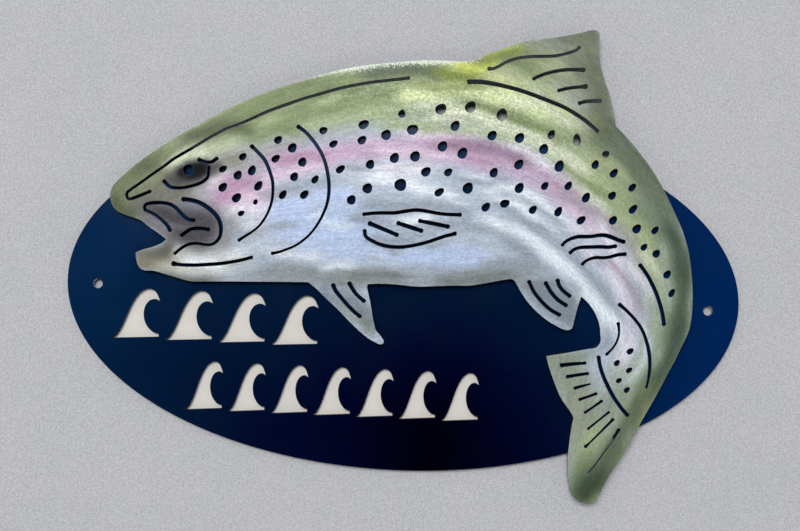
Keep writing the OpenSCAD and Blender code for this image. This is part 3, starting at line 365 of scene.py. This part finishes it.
    ("belly_dark", 4, .6, [(72, 14), (80, 12), (94, 13), (104, 13), (110, 8), (115, 0), (114, -10)]),
    ("slate", 3.5, .6, [(108, 17), (115, 13), (121, 5)]),
    ("fin_blue", 5, .8, [(-62, 7), (-54, 3), (-48, -5), (-38, -14)]),
    ("belly", 4, .9, [(-48, 14), (-40, 12), (-36, 8), (-33, 2)]),
    ("belly_dark", 3.5, .8, [(-30, -8), (-26, -14), (-23, -20), (-20, -26)]),

    # The eye
    ("straw", 6.5, .95, [(-168, 80, 3), (-160, 83, 4), (-153, 88, 5), (-145, 91), (-136, 93),
        (-127, 96, 6, .8), (-118, 99, 5, .5), (-110, 102)]),
    ("cream", 4, .7, [(-164, 80), (-158, 84), (-153, 89), (-147, 92), (-141, 91), (-137, 91)]),
    ("dove", 5.5, .9, [(-134, 76), (-130, 82), (-124, 86), (-116, 87), (-108, 89)]),
    ("shade", 7.5, .94, [(-161, 72, 4, .7), (-154, 74), (-147, 76, 8), (-140, 78, 8), (-135, 80, 6),
        (-129, 83, 3.5, .7)], 3),
    ("night", 5, 1, [(-152, 78, 4.5, .8), (-147, 79, 6), (-141, 81, 5.5), (-138, 84, 3.5, .8)], 3),
    ("pearl", 4, .6, [(-136, 75), (-132, 72), (-129, 66)]),
]


def spline(points, spacing=3.0):
    """The smooth curve through the points, with all their columns blended alike."""
    p = np.array(points, float)
    p = np.vstack([2 * p[0] - p[1], p, 2 * p[-1] - p[-2]])
    out = []
    for a, b, c, d in zip(p, p[1:], p[2:], p[3:]):
        n = max(1, int(np.hypot(*(c - b)[:2]) / spacing))
        t = (np.arange(n) / n)[:, None]
        out.append(0.5 * (2 * b + (c - a) * t + (2 * a - 5 * b + 4 * c - d) * t**2
                          + (3 * b - a - 3 * c + d) * t**3))
    return np.vstack(out + [p[-2:-1]])


def squares(xz, size=14.0):
    """The places grouped into squares, so that a brush pass is worked out only where it reaches."""
    cell = np.floor(xz / size).astype(int)
    key = cell[:, 0] * 10000 + cell[:, 1]
    order = np.argsort(key, kind="stable")
    cuts = np.where(np.diff(key[order]))[0] + 1
    return [(i, xz[i].min(0), xz[i].max(0)) for i in np.split(order, cuts)]


def brush_line(points, radius, strength, firmness):
    """A brush pass as rows of x, z, radius and strength. A soft pass fades in and out at its ends."""
    rows = [tuple(p) + (radius, strength)[len(p) - 2:] for p in points]
    if firmness == SOFT:
        rows[0], rows[-1] = rows[0][:3] + (0.0,), rows[-1][:3] + (0.0,)
    return spline(rows)


def stroke_weight(xz, groups, line, firmness):
    """How strongly a brush pass covers each place: its strength on its line, fading with the distance."""
    a, b = line[:-1], line[1:]
    reach = np.maximum(a[:, 2], b[:, 2]) * (SOFT_REACH if firmness == SOFT else FIRM_REACH)
    low, high = np.minimum(a, b)[:, :2] - reach[:, None], np.maximum(a, b)[:, :2] + reach[:, None]
    weight = np.zeros(len(xz), np.float32)
    for index, lowest, highest in groups:
        near = np.all((low < highest) & (high > lowest), axis=1)
        if not near.any():
            continue
        at, p, v = xz[index], a[near], (b - a)[near]
        away = at[:, None, :] - p[None, :, :2]
        t = np.clip((away * v[:, :2]).sum(2) / (v[:, :2] ** 2).sum(1).clip(1e-9), 0, 1)
        gap = np.hypot(*np.moveaxis(away - t[..., None] * v[:, :2], 2, 0))
        cover = (p[:, 3] + t * v[:, 3]) * np.exp(-((gap / (p[:, 2] + t * v[:, 2]).clip(0.5)) ** firmness))
        weight[index] = cover.max(1).clip(0, 1)
    return weight


def painted(xz, strokes, base):
    """The paint's colour at each place, from 0 to 255, after all brush passes in turn."""
    groups = squares(xz)
    colour = np.tile(np.array(PAINT[base], np.float32), (len(xz), 1))
    for name, radius, strength, points, *firm in strokes:
        firmness = firm[0] if firm else SOFT
        line = brush_line(points, radius, strength, firmness)
        w = stroke_weight(xz, groups, line, firmness)[:, None]
        colour += (np.array(PAINT[name], np.float32) - colour) * w
    return colour


def linear(colour):
    """Colours from 0 to 255 as the linear values that Blender works in."""
    c = np.clip(np.asarray(colour, float) / 255, 0, 1)
    return np.where(c <= 0.04045, c / 12.92, ((c + 0.055) / 1.055) ** 2.4)


# Sheet pieces
def add_object(name, data):
    piece = bpy.data.objects.new(name, data)
    scene.collection.objects.link(piece)
    return piece


def edge_loops(node):
    """The closed edges of a node's front face, as arrays of x and z in millimetres, with the metal on the
    left of each, and the depths of its front and back."""
    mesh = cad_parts[node].data
    co = np.array([v.co for v in mesh.vertices]) / MM
    front, back = co[:, 1].min(), co[:, 1].max()
    keys = {}
    same = np.array([keys.setdefault(tuple(k), len(keys)) for k in np.round(co, 4)])
    place = {}
    for i, k in enumerate(same):
        place.setdefault(k, co[i])
    ways = set()
    for f in mesh.polygons:
        ids = [same[i] for i in f.vertices]
        if all(abs(place[i][1] - front) < 0.01 for i in ids):
            ways.update(zip(ids, ids[1:] + ids[:1]))
    rim = {a: b for a, b in ways if (b, a) not in ways}
    loops = []
    while rim:
        start, at = next(iter(rim.items()))
        loop = [start]
        del rim[start]
        while at != start:
            loop.append(at)
            at = rim.pop(at)
        loops.append(np.array([[place[i][0], place[i][2]] for i in loop]))
    loops.sort(key=lambda p: -np.ptp(p[:, 0]))
    if area(loops[0]) < 0:
        loops = [p[::-1] for p in loops]
    return loops, front, back


def area(p):
    x, z = p.T
    return 0.5 * np.sum(x * np.roll(z, -1) - np.roll(x, -1) * z)


def smooth_loop(p, corner, spacing):
    """A closed loop drawn smoothly through its points, except at corners sharper than this many degrees."""
    before, after = p - np.roll(p, 1, 0), np.roll(p, -1, 0) - p
    d0, d1 = np.hypot(*before.T)[:, None], np.hypot(*after.T)[:, None]
    u0, u1 = before / d0, after / d1
    turn = np.degrees(np.arccos(np.clip((u0 * u1).sum(1), -1, 1)))
    blend = (u0 * d1 + u1 * d0) / (d0 + d1)
    sharp = (turn > corner)[:, None]
    leave, arrive = np.where(sharp, u1, blend), np.where(sharp, u0, blend)
    out = []
    for i in range(len(p)):
        j = (i + 1) % len(p)
        n = max(1, round(d1[i, 0] / spacing))
        t = (np.arange(n) / n)[:, None]
        out.append((2 * t**3 - 3 * t**2 + 1) * p[i] + (t**3 - 2 * t**2 + t) * d1[i] * leave[i]
                   + (3 * t**2 - 2 * t**3) * p[j] + (t**3 - t**2) * d1[i] * arrive[j])
    return np.clip(np.vstack(out), p.min(0), p.max(0))


def drawn_in(p, inset):
    """The loop moved towards the metal on its left, but not far at the sharpest corners."""
    u = np.roll(p, -1, 0) - p
    u /= np.hypot(*u.T)[:, None]
    n = np.c_[-u[:, 1], u[:, 0]]
    m = n + np.roll(n, 1, 0)
    m /= np.maximum(np.hypot(*m.T), 0.5)[:, None]
    return p + m * inset / np.maximum((m * n).sum(1), 0.6)[:, None]


def crossings(loops, z):
    """Where a level line meets the loops, from left to right."""
    xs = []
    for p in loops:
        q = np.roll(p, -1, 0)
        hit = (p[:, 1] <= z) != (q[:, 1] <= z)
        a, b = p[hit], q[hit]
        xs.append(a[:, 0] + (z - a[:, 1]) / (b[:, 1] - a[:, 1]) * (b[:, 0] - a[:, 0]))
    return np.sort(np.concatenate(xs))


def face_grid(loops):
    """Places in a honeycomb over the sheet, clear of its edges."""
    low, high = loops[0].min(0), loops[0].max(0)
    row_gap = GRID_SPACING * math.sqrt(3) / 2
    out = []
    for row in range(1, int((high[1] - low[1]) / row_gap)):
        z = low[1] + row * row_gap
        xs = low[0] + GRID_SPACING * (np.arange(int((high[0] - low[0]) / GRID_SPACING)) + row % 2 / 2)
        keep = np.ones(len(xs), bool)
        for level in (z - GRID_MARGIN, z, z + GRID_MARGIN):
            cross = crossings(loops, level)
            side = np.searchsorted(cross, xs)
            gap = np.full(len(xs), np.inf)
            if len(cross):
                gap = np.minimum(np.abs(xs - cross[np.clip(side, 0, len(cross) - 1)]),
                                 np.abs(xs - cross[np.clip(side - 1, 0, len(cross) - 1)]))
            keep &= (side % 2 == 1) & (gap > GRID_MARGIN)
        out.append(np.c_[xs[keep], np.full(keep.sum(), z)])
    return np.vstack(out)


def holds(loop, at):
    """Which places lie inside the closed loop."""
    p, q = loop, np.roll(loop, -1, 0)
    x, z = at[:, :1], at[:, 1:]
    with np.errstate(divide="ignore", invalid="ignore"):
        meet = p[:, 0] + (z - p[:, 1]) / (q[:, 1] - p[:, 1]) * (q[:, 0] - p[:, 0])
    return (((p[:, 1] <= z) != (q[:, 1] <= z)) & (x < meet)).sum(1) % 2 == 1


def fill(loops, inner):
    """Triangles over the sheet between its loops, by Delaunay's rule, as rows of point numbers."""
    points = np.vstack(loops + [inner])
    owner = np.concatenate([np.full(len(p), i) for i, p in enumerate(loops)] + [np.full(len(inner), -1)])
    starts = np.cumsum([0] + [len(p) for p in loops])
    rims = [(int(s + i), int(s + (i + 1) % len(p))) for s, p in zip(starts, loops) for i in range(len(p))]
    made = delaunay_2d_cdt([Vector(p) for p in points], rims, [], 0, 1e-6)
    source = np.array([o[0] if o else -1 for o in made[3]])
    tris = source[np.array([f for f in made[2]])]
    tris = tris[(tris >= 0).all(1)]
    own = owner[tris]
    doubtful = np.where((own[:, 0] == own[:, 1]) & (own[:, 1] == own[:, 2]) & (own[:, 0] >= 0))[0]
    keep = np.ones(len(tris), bool)
    centre = points[tris].mean(1)
    for i, loop in enumerate(loops):
        mine = doubtful[own[doubtful, 0] == i]
        if len(mine):
            inside = holds(loop, centre[mine])
            keep[mine] = inside if i == 0 else ~inside
    return tris[keep]


def sheet_mesh(name, node, corners, chamfer, grid):
    """A cut sheet with smooth edges and a fine chamfer round the front of every edge."""
    rough, front, back = edge_loops(node)
    loops = [smooth_loop(p, corners[i > 0], LOOP_SPACING) for i, p in enumerate(rough)]
    inset = [drawn_in(p, chamfer) for p in loops]
    inner = face_grid(inset) if grid else np.zeros((0, 2))
    rim, top = np.vstack(loops), np.vstack(inset + [inner])
    count = len(rim)
    co = np.vstack([np.c_[top[:, 0], np.full(len(top), front), top[:, 1]],
                    np.c_[rim[:, 0], np.full(count, front + chamfer), rim[:, 1]],
                    np.c_[rim[:, 0], np.full(count, back), rim[:, 1]]])
    ring1, ring2 = len(top), len(top) + count
    faces = [tuple(t) for t in fill(inset, inner)]
    kinds = [FACE] * len(faces)
    after = np.concatenate([s + np.roll(np.arange(len(p)), -1) for s, p in
                            zip(np.cumsum([0] + [len(p) for p in loops[:-1]]), loops)])
    for i, j in enumerate(after):
        faces.append((i, i + ring1, j + ring1, j))
        faces.append((i + ring1, i + ring2, j + ring2, j + ring1))
        kinds += (FACE, SIDE) if i < len(loops[0]) else (BEVEL, SLOT)
    rear = fill(loops, np.zeros((0, 2)))
    faces += [tuple(t[::-1] + ring2) for t in rear]
    kinds += [REAR] * len(rear)
    mesh = bpy.data.meshes.new(name)
    mesh.from_pydata((co * MM).tolist(), [], [tuple(int(v) for v in f) for f in faces])
    mesh.validate()
    return add_object(name, mesh), np.array(kinds), co


fish, fish_kinds, fish_co = sheet_mesh("fish_plate.dressed", "fish_plate", FISH_CORNERS, EDGE_CHAMFER, True)
oval, oval_kinds, _ = sheet_mesh("oval_plate.dressed", "oval_plate", OVAL_CORNERS, OVAL_CHAMFER, False)


# Colour and flow on the fish: the grinding follows the body's upper and lower edges
UPPER_EDGE = [(-200, 58), (-150, 106), (-100, 134), (-50, 151), (0, 160), (40, 160), (90, 143), (130, 120),
              (160, 98), (182, 62), (195, 5), (190, -25), (165, -76), (140, -125)]
LOWER_EDGE = [(-182, 20), (-150, 7), (-100, 6), (-60, 7), (0, 8), (50, 10), (85, 20), (110, 10), (125, 0),
              (134, -20), (128, -40), (120, -80), (122, -130)]
BODY_DEPTH = 110.0
# Where white specks are painted as a highlight along the back's top edge, with their strength
PAINTED_BACK_HIGHLIGHT = [(-100, 137, 3, 0), (-80, 144, 3, .5), (-60, 150, 3.5, .8), (-40, 154, 4, 1), (-20, 158, 4, 1),
              (0, 160, 4, 1), (20, 161, 3.5, 1), (40, 162, 3, .6), (60, 168, 3, 0)]
COARSE_GRIND = [(-80, 125, 14, 0), (-40, 135, 17, .8), (0, 135, 22, 1), (50, 130, 22, 1), (90, 112, 20, .8),
                (130, 75, 14, 0)]


def nearest(xz, line):
    """How far each place is from a line, and how far along the line that nearest point lies."""
    q = spline([p + (0, 0) for p in line])[:, :2]
    a, v = q[:-1], np.diff(q, axis=0)
    length = np.hypot(*v.T)
    start = np.concatenate([[0], np.cumsum(length)[:-1]])
    gap, along = np.zeros(len(xz)), np.zeros(len(xz))
    for i in np.array_split(np.arange(len(xz)), 20):
        away = xz[i, None, :] - a
        t = np.clip((away * v).sum(2) / length**2, 0, 1)
        d = np.hypot(*np.moveaxis(away - t[..., None] * v, 2, 0))
        best = d.argmin(1)
        rows = np.arange(len(i))
        gap[i], along[i] = d[rows, best], start[best] + t[rows, best] * length[best]
    return gap, along


def give(name, kind, values):
    """Puts a value for each point of the fish into a named attribute of its mesh."""
    layer = fish.data.attributes.new(name, kind, "POINT")
    field = {"FLOAT_COLOR": "color", "FLOAT_VECTOR": "vector", "FLOAT": "value"}[kind]
    layer.data.foreach_set(field, np.asarray(values, np.float32).ravel())


fish_xz = fish_co[:, [0, 2]]
paint = linear(painted(fish_xz, STROKES, BASE))
give("paint", "FLOAT_COLOR", np.c_[paint, np.ones(len(paint))])
upper_gap, along = nearest(fish_xz, UPPER_EDGE)
lower_gap, _ = nearest(fish_xz, LOWER_EDGE)
across = BODY_DEPTH * lower_gap / (lower_gap + upper_gap + 1e-6)
give("flow", "FLOAT_VECTOR", np.c_[along, across, np.zeros(len(along))])
for name, line in (("gleam", PAINTED_BACK_HIGHLIGHT), ("grind", COARSE_GRIND)):
    give(name, "FLOAT", stroke_weight(fish_xz, squares(fish_xz), spline(line), SOFT))


# Materials
class Nodes:
    """Adds shader nodes. Each takes its settings by name and its inputs from values or sockets."""

    def __init__(self, tree):
        self.tree = tree

    def add(self, kind, inputs=None, **settings):
        node = self.tree.nodes.new("ShaderNode" + kind)
        for key, value in settings.items():
            setattr(node, key, value)
        for key, value in (inputs or {}).items():
            if isinstance(value, bpy.types.NodeSocket):
                self.tree.links.new(value, node.inputs[key])
            else:
                node.inputs[key].default_value = value
        return node

    def feed(self, name, source):
        """Leads a value that varies over the surface into the shader."""
        self.tree.links.new(source, self.tree.nodes["Principled BSDF"].inputs[name])

    def place(self, x, y=None, z=None):
        """Object coordinates in millimetres, times a scale for each axis, or one for all three."""
        at = self.add("TexCoord").outputs["Object"]
        return self.stretch(at, *[(x if s is None else s) / MM for s in (x, y, z)])

    def stretch(self, vector, *scale):
        return self.add("VectorMath", {0: vector, 1: scale}, operation="MULTIPLY").outputs[0]

    def noise(self, vector, low, high, detail=2.0, rough=0.5):
        """Noise over one unit, brought to run from low to high."""
        made = self.add("TexNoise", {"Vector": vector, "Scale": 1.0, "Detail": detail, "Roughness": rough})
        return self.spread(made.outputs[0], 0.3, 0.7, low, high)

    def spread(self, value, from_low, from_high, low, high):
        return self.add("MapRange", {0: value, 1: from_low, 2: from_high, 3: low, 4: high}).outputs[0]

    def sums(self, a, b, operation="ADD"):
        return self.add("Math", {0: a, 1: b}, operation=operation).outputs[0]

    def shade(self, colour, amount):
        """The colour made lighter or darker by this amount."""
        return self.add("VectorMath", {0: colour, "Scale": amount}, operation="SCALE").outputs[0]

    def blend(self, factor, a, b):
        return self.add("Mix", {0: factor, 6: a, 7: b}, data_type="RGBA").outputs[2]

    def ramp(self, value, stops):
        """The colours of the stops, each a place from 0 to 1 and a colour, blended along the value."""
        node = self.add("ValToRGB", {0: self.spread(value, 0, stops[-1][0], 0, 1)})
        made = node.color_ramp.elements
        for at, colour in stops[1:-1]:
            made.new(at / stops[-1][0]).color = colour
        made[0].position, made[0].color = stops[0][0] / stops[-1][0], stops[0][1]
        made[-1].position, made[-1].color = 1.0, stops[-1][1]
        return node.outputs[0]

    def bump(self, height, distance, strength=1.0):
        made = self.add("Bump", {"Height": height, "Distance": distance * MM, "Strength": strength})
        return made.outputs[0]


def rgb(*colour):
    return tuple(linear(colour)) + (1.0,)


def material(name, **values):
    """A new material and its nodes, with shader values that are the same all over it."""
    made = bpy.data.materials.new(name)
    made.use_nodes = True
    shader = made.node_tree.nodes["Principled BSDF"]
    for key, value in values.items():
        shader.inputs[key.replace("_", " ")].default_value = value
    return made, Nodes(made.node_tree)


def airbrushed_steel():
    """Ground steel under airbrushed colour and painted highlights, with streaks and hairs that follow the
    fish, white specks painted as a highlight along the back's top edge, and matt where the paint is dark."""
    made, n = material("airbrushed_steel", Metallic=0.12, Coat_Weight=0.08, Coat_Roughness=0.3)
    flow = n.add("Attribute", attribute_name="flow").outputs["Vector"]
    colour = n.add("Attribute", attribute_name="paint").outputs["Color"]
    streaks = n.noise(n.stretch(flow, 0.05, 0.5, 1), 0.83, 1.13, 4, 0.65)
    hairs = n.noise(n.stretch(flow, 0.15, 1.6, 1), 0.86, 1.14, 3)
    grind = n.add("Attribute", attribute_name="grind").outputs["Fac"]
    low, high = n.spread(grind, 0, 1, 0.78, 0.5), n.spread(grind, 0, 1, 1.22, 1.5)
    grain = n.noise(n.place(0.75), low, high, 3, 0.75)
    colour = n.shade(n.shade(n.shade(colour, streaks), hairs), grain)
    # Painted highlight: white specks, broken up by noise, only along the back's top edge
    highlight_noise = n.noise(n.place(1.4), 0, 1, 1)
    gleam = n.sums(highlight_noise, n.add("Attribute", attribute_name="gleam").outputs["Fac"])
    highlight_specks = n.spread(gleam, 1.1, 1.4, 0, 0.85)
    colour = n.blend(highlight_specks, colour, rgb(232, 238, 228))
    n.feed("Base Color", colour)
    brightness = n.add("RGBToBW", {0: colour}).outputs[0]
    n.feed("Specular IOR Level", n.spread(brightness, 0.015, 0.07, 0.05, 0.5))
    n.feed("Roughness", n.noise(n.stretch(flow, 0.08, 1.2, 1), 0.48, 0.64))
    scratches = n.noise(n.stretch(flow, 0.1, 3, 1), 0, 1, 3, 0.7)
    n.feed("Normal", n.bump(scratches, 0.03, 0.35))
    return made


def cut_edge():
    """The dark sides that the cutting torch leaves."""
    made, n = material("cut_edge", Metallic=0.6)
    lines = n.noise(n.place(3.2, 0.25, 3.2), 0.6, 1.25)
    n.feed("Base Color", n.shade(rgb(52, 54, 58)[:3], lines))
    n.feed("Roughness", n.noise(n.place(0.8, 0.4, 0.8), 0.45, 0.65))
    n.feed("Normal", n.bump(lines, 0.05, 0.5))
    return made


def slot_soot_and_shade():
    """The sides of the cut lines and spots, black from the torch and darkened further as painted shade of
    these narrow recesses.
    """
    made, n = material("slot_soot_and_shade", Specular_IOR_Level=0.1)
    soot_and_shade = n.noise(n.place(1.5, 0.5, 1.5), 0, 1, 3)
    n.feed("Base Color", n.blend(soot_and_shade, rgb(10, 11, 14), rgb(24, 25, 28)))
    n.feed("Roughness", n.noise(n.place(0.8), 0.7, 0.95))
    return made


def ground_bevel():
    made, n = material("ground_bevel", Metallic=0.6)
    tone = n.noise(n.place(0.5), 0, 1)
    n.feed("Base Color", n.blend(tone, rgb(60, 64, 68), rgb(106, 111, 115)))
    n.feed("Roughness", n.noise(n.place(2), 0.4, 0.6))
    return made


def mill_steel():
    made, n = material("mill_steel", Metallic=0.8)
    cloud = n.noise(n.place(0.02), 0, 1, 4, 0.6)
    rolled = n.noise(n.place(0.04, 1, 1.6), 0.9, 1.1, 3)
    n.feed("Base Color", n.shade(n.blend(cloud, rgb(112, 116, 120), rgb(142, 146, 149)), rolled))
    n.feed("Roughness", n.noise(n.place(0.05), 0.38, 0.58, 3))
    n.feed("Normal", n.bump(rolled, 0.03, 0.3))
    return made


def navy_enamel(name, dull=0.0):
    """Gloss enamel with a painted reflection in its colour: blue at the sides, near black low in the
    middle, and a painted sheen towards the right end and the top, with dust and scratches.
    """
    made, n = material(name, Specular_IOR_Level=0.3)
    parts = n.add("SeparateXYZ", {0: n.place(1)})
    # Painted reflection: the colour darkens towards a centre low in the middle
    left = n.spread(parts.outputs[0], DARK_REFLECTION_X - REFLECTION_LEFT, DARK_REFLECTION_X, 1, 0)
    right = n.spread(parts.outputs[0], DARK_REFLECTION_X, DARK_REFLECTION_X + REFLECTION_RIGHT, 0, 1)
    up = n.spread(parts.outputs[2], DARK_REFLECTION_Z, DARK_REFLECTION_Z + REFLECTION_UP, 0, 1)
    away = n.add("CombineXYZ", {0: n.sums(left, right), 1: up}).outputs[0]
    away = n.add("VectorMath", {0: away}, operation="LENGTH").outputs["Value"]
    painted_reflection = n.sums(away, n.noise(n.place(0.012), -0.05, 0.05))
    colour = n.ramp(painted_reflection, [(0.02, rgb(0, 0, 11)), (0.2, rgb(1, 1, 29)), (0.36, rgb(1, 8, 40)),
                           (0.52, rgb(1, 20, 48)), (0.78, rgb(2, 29, 60)), (1.05, rgb(6, 39, 76))])
    # Painted sheen: lighter blue towards the right end and towards the top
    colour = n.blend(n.spread(parts.outputs[0], *SHEEN_END, 0, 0.8), colour, rgb(0, 35, 88))
    colour = n.blend(n.spread(parts.outputs[2], *SHEEN_TOP, 0, 0.8), colour, rgb(38, 74, 116))
    speck = n.add("TexVoronoi", {"Vector": n.place(0.09)}).outputs["Distance"]
    speck = n.spread(speck, 0.035, 0.055, 0.35, 0)
    scratch = n.noise(n.place(0.015, 0.4, 0.5), 0, 1, 4, 0.75)
    scratch = n.spread(scratch, 1.0, 1.3, 0, 0.5)
    n.feed("Base Color", n.blend(n.sums(speck, scratch), colour, rgb(70, 92, 118)))
    n.feed("Roughness", n.noise(n.place(0.03), 0.1 + dull, 0.2 + dull, 3))
    peel = n.noise(n.place(0.45), 0, 1, 1)
    n.feed("Normal", n.bump(peel, 0.02, 0.15))
    return made


def cream_sheet():
    made, n = material("cream_sheet", Specular_IOR_Level=0.35)
    cloud = n.noise(n.place(0.03), 0, 1, 3)
    fine = n.noise(n.place(1.2), 0.985, 1.015)
    n.feed("Base Color", n.shade(n.blend(cloud, rgb(216, 212, 206), rgb(224, 220, 213)), fine))
    n.feed("Roughness", n.noise(n.place(0.2), 0.42, 0.55))
    n.feed("Normal", n.bump(n.noise(n.place(0.8), 0, 1), 0.03, 0.3))
    return made


def black_tape():
    made, n = material("black_tape", Specular_IOR_Level=0.2)
    cells = n.noise(n.place(2.5), 0, 1, 3)
    n.feed("Base Color", n.blend(cells, rgb(30, 30, 32), rgb(52, 52, 54)))
    n.feed("Roughness", n.noise(n.place(1), 0.75, 0.95))
    n.feed("Normal", n.bump(cells, 0.08, 0.5))
    return made


def turned_steel():
    """Steel turned on a lathe, with fine rings round each boss."""
    made, n = material("turned_steel", Metallic=0.9)
    rings = n.noise(n.place(0.3, 7, 0.3), 0.88, 1.1, 3)
    cloud = n.noise(n.place(0.4), 0, 1)
    n.feed("Base Color", n.shade(n.blend(cloud, rgb(150, 153, 157), rgb(176, 179, 182)), rings))
    n.feed("Roughness", n.noise(n.place(0.5, 3, 0.5), 0.28, 0.42))
    n.feed("Normal", n.bump(rings, 0.03, 0.4))
    return made


def bright_zinc():
    made, n = material("bright_zinc", Metallic=0.9)
    cloud = n.noise(n.place(0.6), 0, 1, 3)
    fine = n.noise(n.place(3), 0.93, 1.05)
    n.feed("Base Color", n.shade(n.blend(cloud, rgb(186, 190, 196), rgb(206, 208, 210)), fine))
    n.feed("Roughness", n.noise(n.place(1.5), 0.22, 0.36))
    n.feed("Normal", n.bump(fine, 0.02, 0.3))
    return made


def dress(piece, made, kinds):
    for one in made:
        piece.data.materials.append(one)
    piece.data.polygons.foreach_set("material_index", np.asarray(kinds, np.int32))
    piece.data.update()


edge, bevel, mill = cut_edge(), ground_bevel(), mill_steel()
dress(fish, [airbrushed_steel(), bevel, edge, slot_soot_and_shade(), mill], fish_kinds)
enamel, rear_enamel = navy_enamel("navy_enamel"), navy_enamel("navy_enamel_rear", dull=0.18)
dress(oval, [enamel, rear_enamel], (oval_kinds == REAR).astype(int))

for piece, node in ((fish, "fish_plate"), (oval, "oval_plate")):
    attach(piece, "root")
    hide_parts(node)

part_looks = {"tape": black_tape(), "boss": turned_steel(), "screw": bright_zinc(), "backer": cream_sheet()}
for name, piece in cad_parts.items():
    made = part_looks.get(name.split("_")[-1])
    if made:
        piece.data.materials.clear()
        piece.data.materials.append(made)


# The wall behind the sign, the light and the camera
def wall():
    """Speckled grey plaster, clear from behind and to the light that first reaches the sign's back."""
    made, n = material("wall", Roughness=0.9, Specular_IOR_Level=0.1)
    cloud = n.noise(n.place(0.02), 0, 1, 4, 0.6)
    grit = n.noise(n.place(0.8), 0.76, 1.24, 3, 0.75)
    colour = n.shade(n.blend(cloud, rgb(187, 188, 192), rgb(191, 191, 195)), grit)
    for scale, tint in ((0.07, rgb(120, 118, 122)), (0.05, rgb(232, 232, 234))):
        spots = n.add("TexVoronoi", {"Vector": n.place(scale)})
        colour = n.blend(n.spread(spots.outputs["Distance"], 0.03, 0.06, 0.45, 0), colour, tint)
    n.feed("Base Color", colour)
    n.feed("Normal", n.bump(grit, 0.1, 0.3))
    path = n.add("LightPath").outputs
    early = n.sums(path["Ray Depth"], 1.5, "LESS_THAN")
    first = n.sums(early, path["Is Camera Ray"], "SUBTRACT")
    clear = n.sums(n.add("NewGeometry").outputs["Backfacing"], first, "MAXIMUM")
    seen = n.add("MixShader", {0: clear, 1: n.tree.nodes["Principled BSDF"].outputs[0],
                               2: n.add("BsdfTransparent").outputs[0]})
    n.tree.links.new(seen.outputs[0], n.tree.nodes["Material Output"].inputs["Surface"])
    return made


def black_felt():
    made, n = material("black_felt", Roughness=1.0, Specular_IOR_Level=0.0)
    fibres = n.noise(n.place(0.3), 0, 1, 3)
    n.feed("Base Color", n.blend(fibres, rgb(18, 18, 19), rgb(30, 30, 31)))
    return made


def panel(name, y, span, made):
    """An upright flat panel that belongs to the studio."""
    left, right, foot, top = span
    mesh = bpy.data.meshes.new(name)
    corners = [(left, y, foot), (right, y, foot), (right, y, top), (left, y, top)]
    mesh.from_pydata(corners, [], [(0, 1, 2, 3)])
    mesh.materials.append(made)
    piece = add_object(name, mesh)
    return piece


panel("wall", WALL_FACE, WALL_SPAN, wall())
dark_side = panel("dark_side", DARK_FACE, DARK_SPAN, black_felt())
dark_side.visible_camera = False

world = bpy.data.worlds.new("studio")
world.use_nodes = True
world.node_tree.nodes["Background"].inputs["Color"].default_value = rgb(*SKY)
scene.world = world

lamp = bpy.data.lights.new("soft_light", "AREA")
lamp.shape, lamp.energy = "RECTANGLE", LAMP_POWER
lamp.size, lamp.size_y = LAMP_SIZE
light = add_object("soft_light", lamp)
light.location = LAMP_PLACE
light.rotation_euler = (-light.location).to_track_quat("-Z", "Y").to_euler()

lens = bpy.data.cameras.new("camera")
lens.lens, lens.sensor_width, lens.clip_start, lens.clip_end = LENS, SENSOR, NEAR, FAR
camera = add_object("camera", lens)
camera.matrix_world = (Matrix.Translation((AIM_X * MM, (OVAL_FRONT - CAMERA_GAP) * MM, AIM_Z * MM))
                       @ Matrix.Rotation(math.radians(90), 4, "X")
                       @ Matrix.Rotation(math.radians(SIGN_TURN), 4, "Z"))
scene.camera = camera
scene.view_settings.view_transform = "Standard"

bpy.context.view_layer.update()
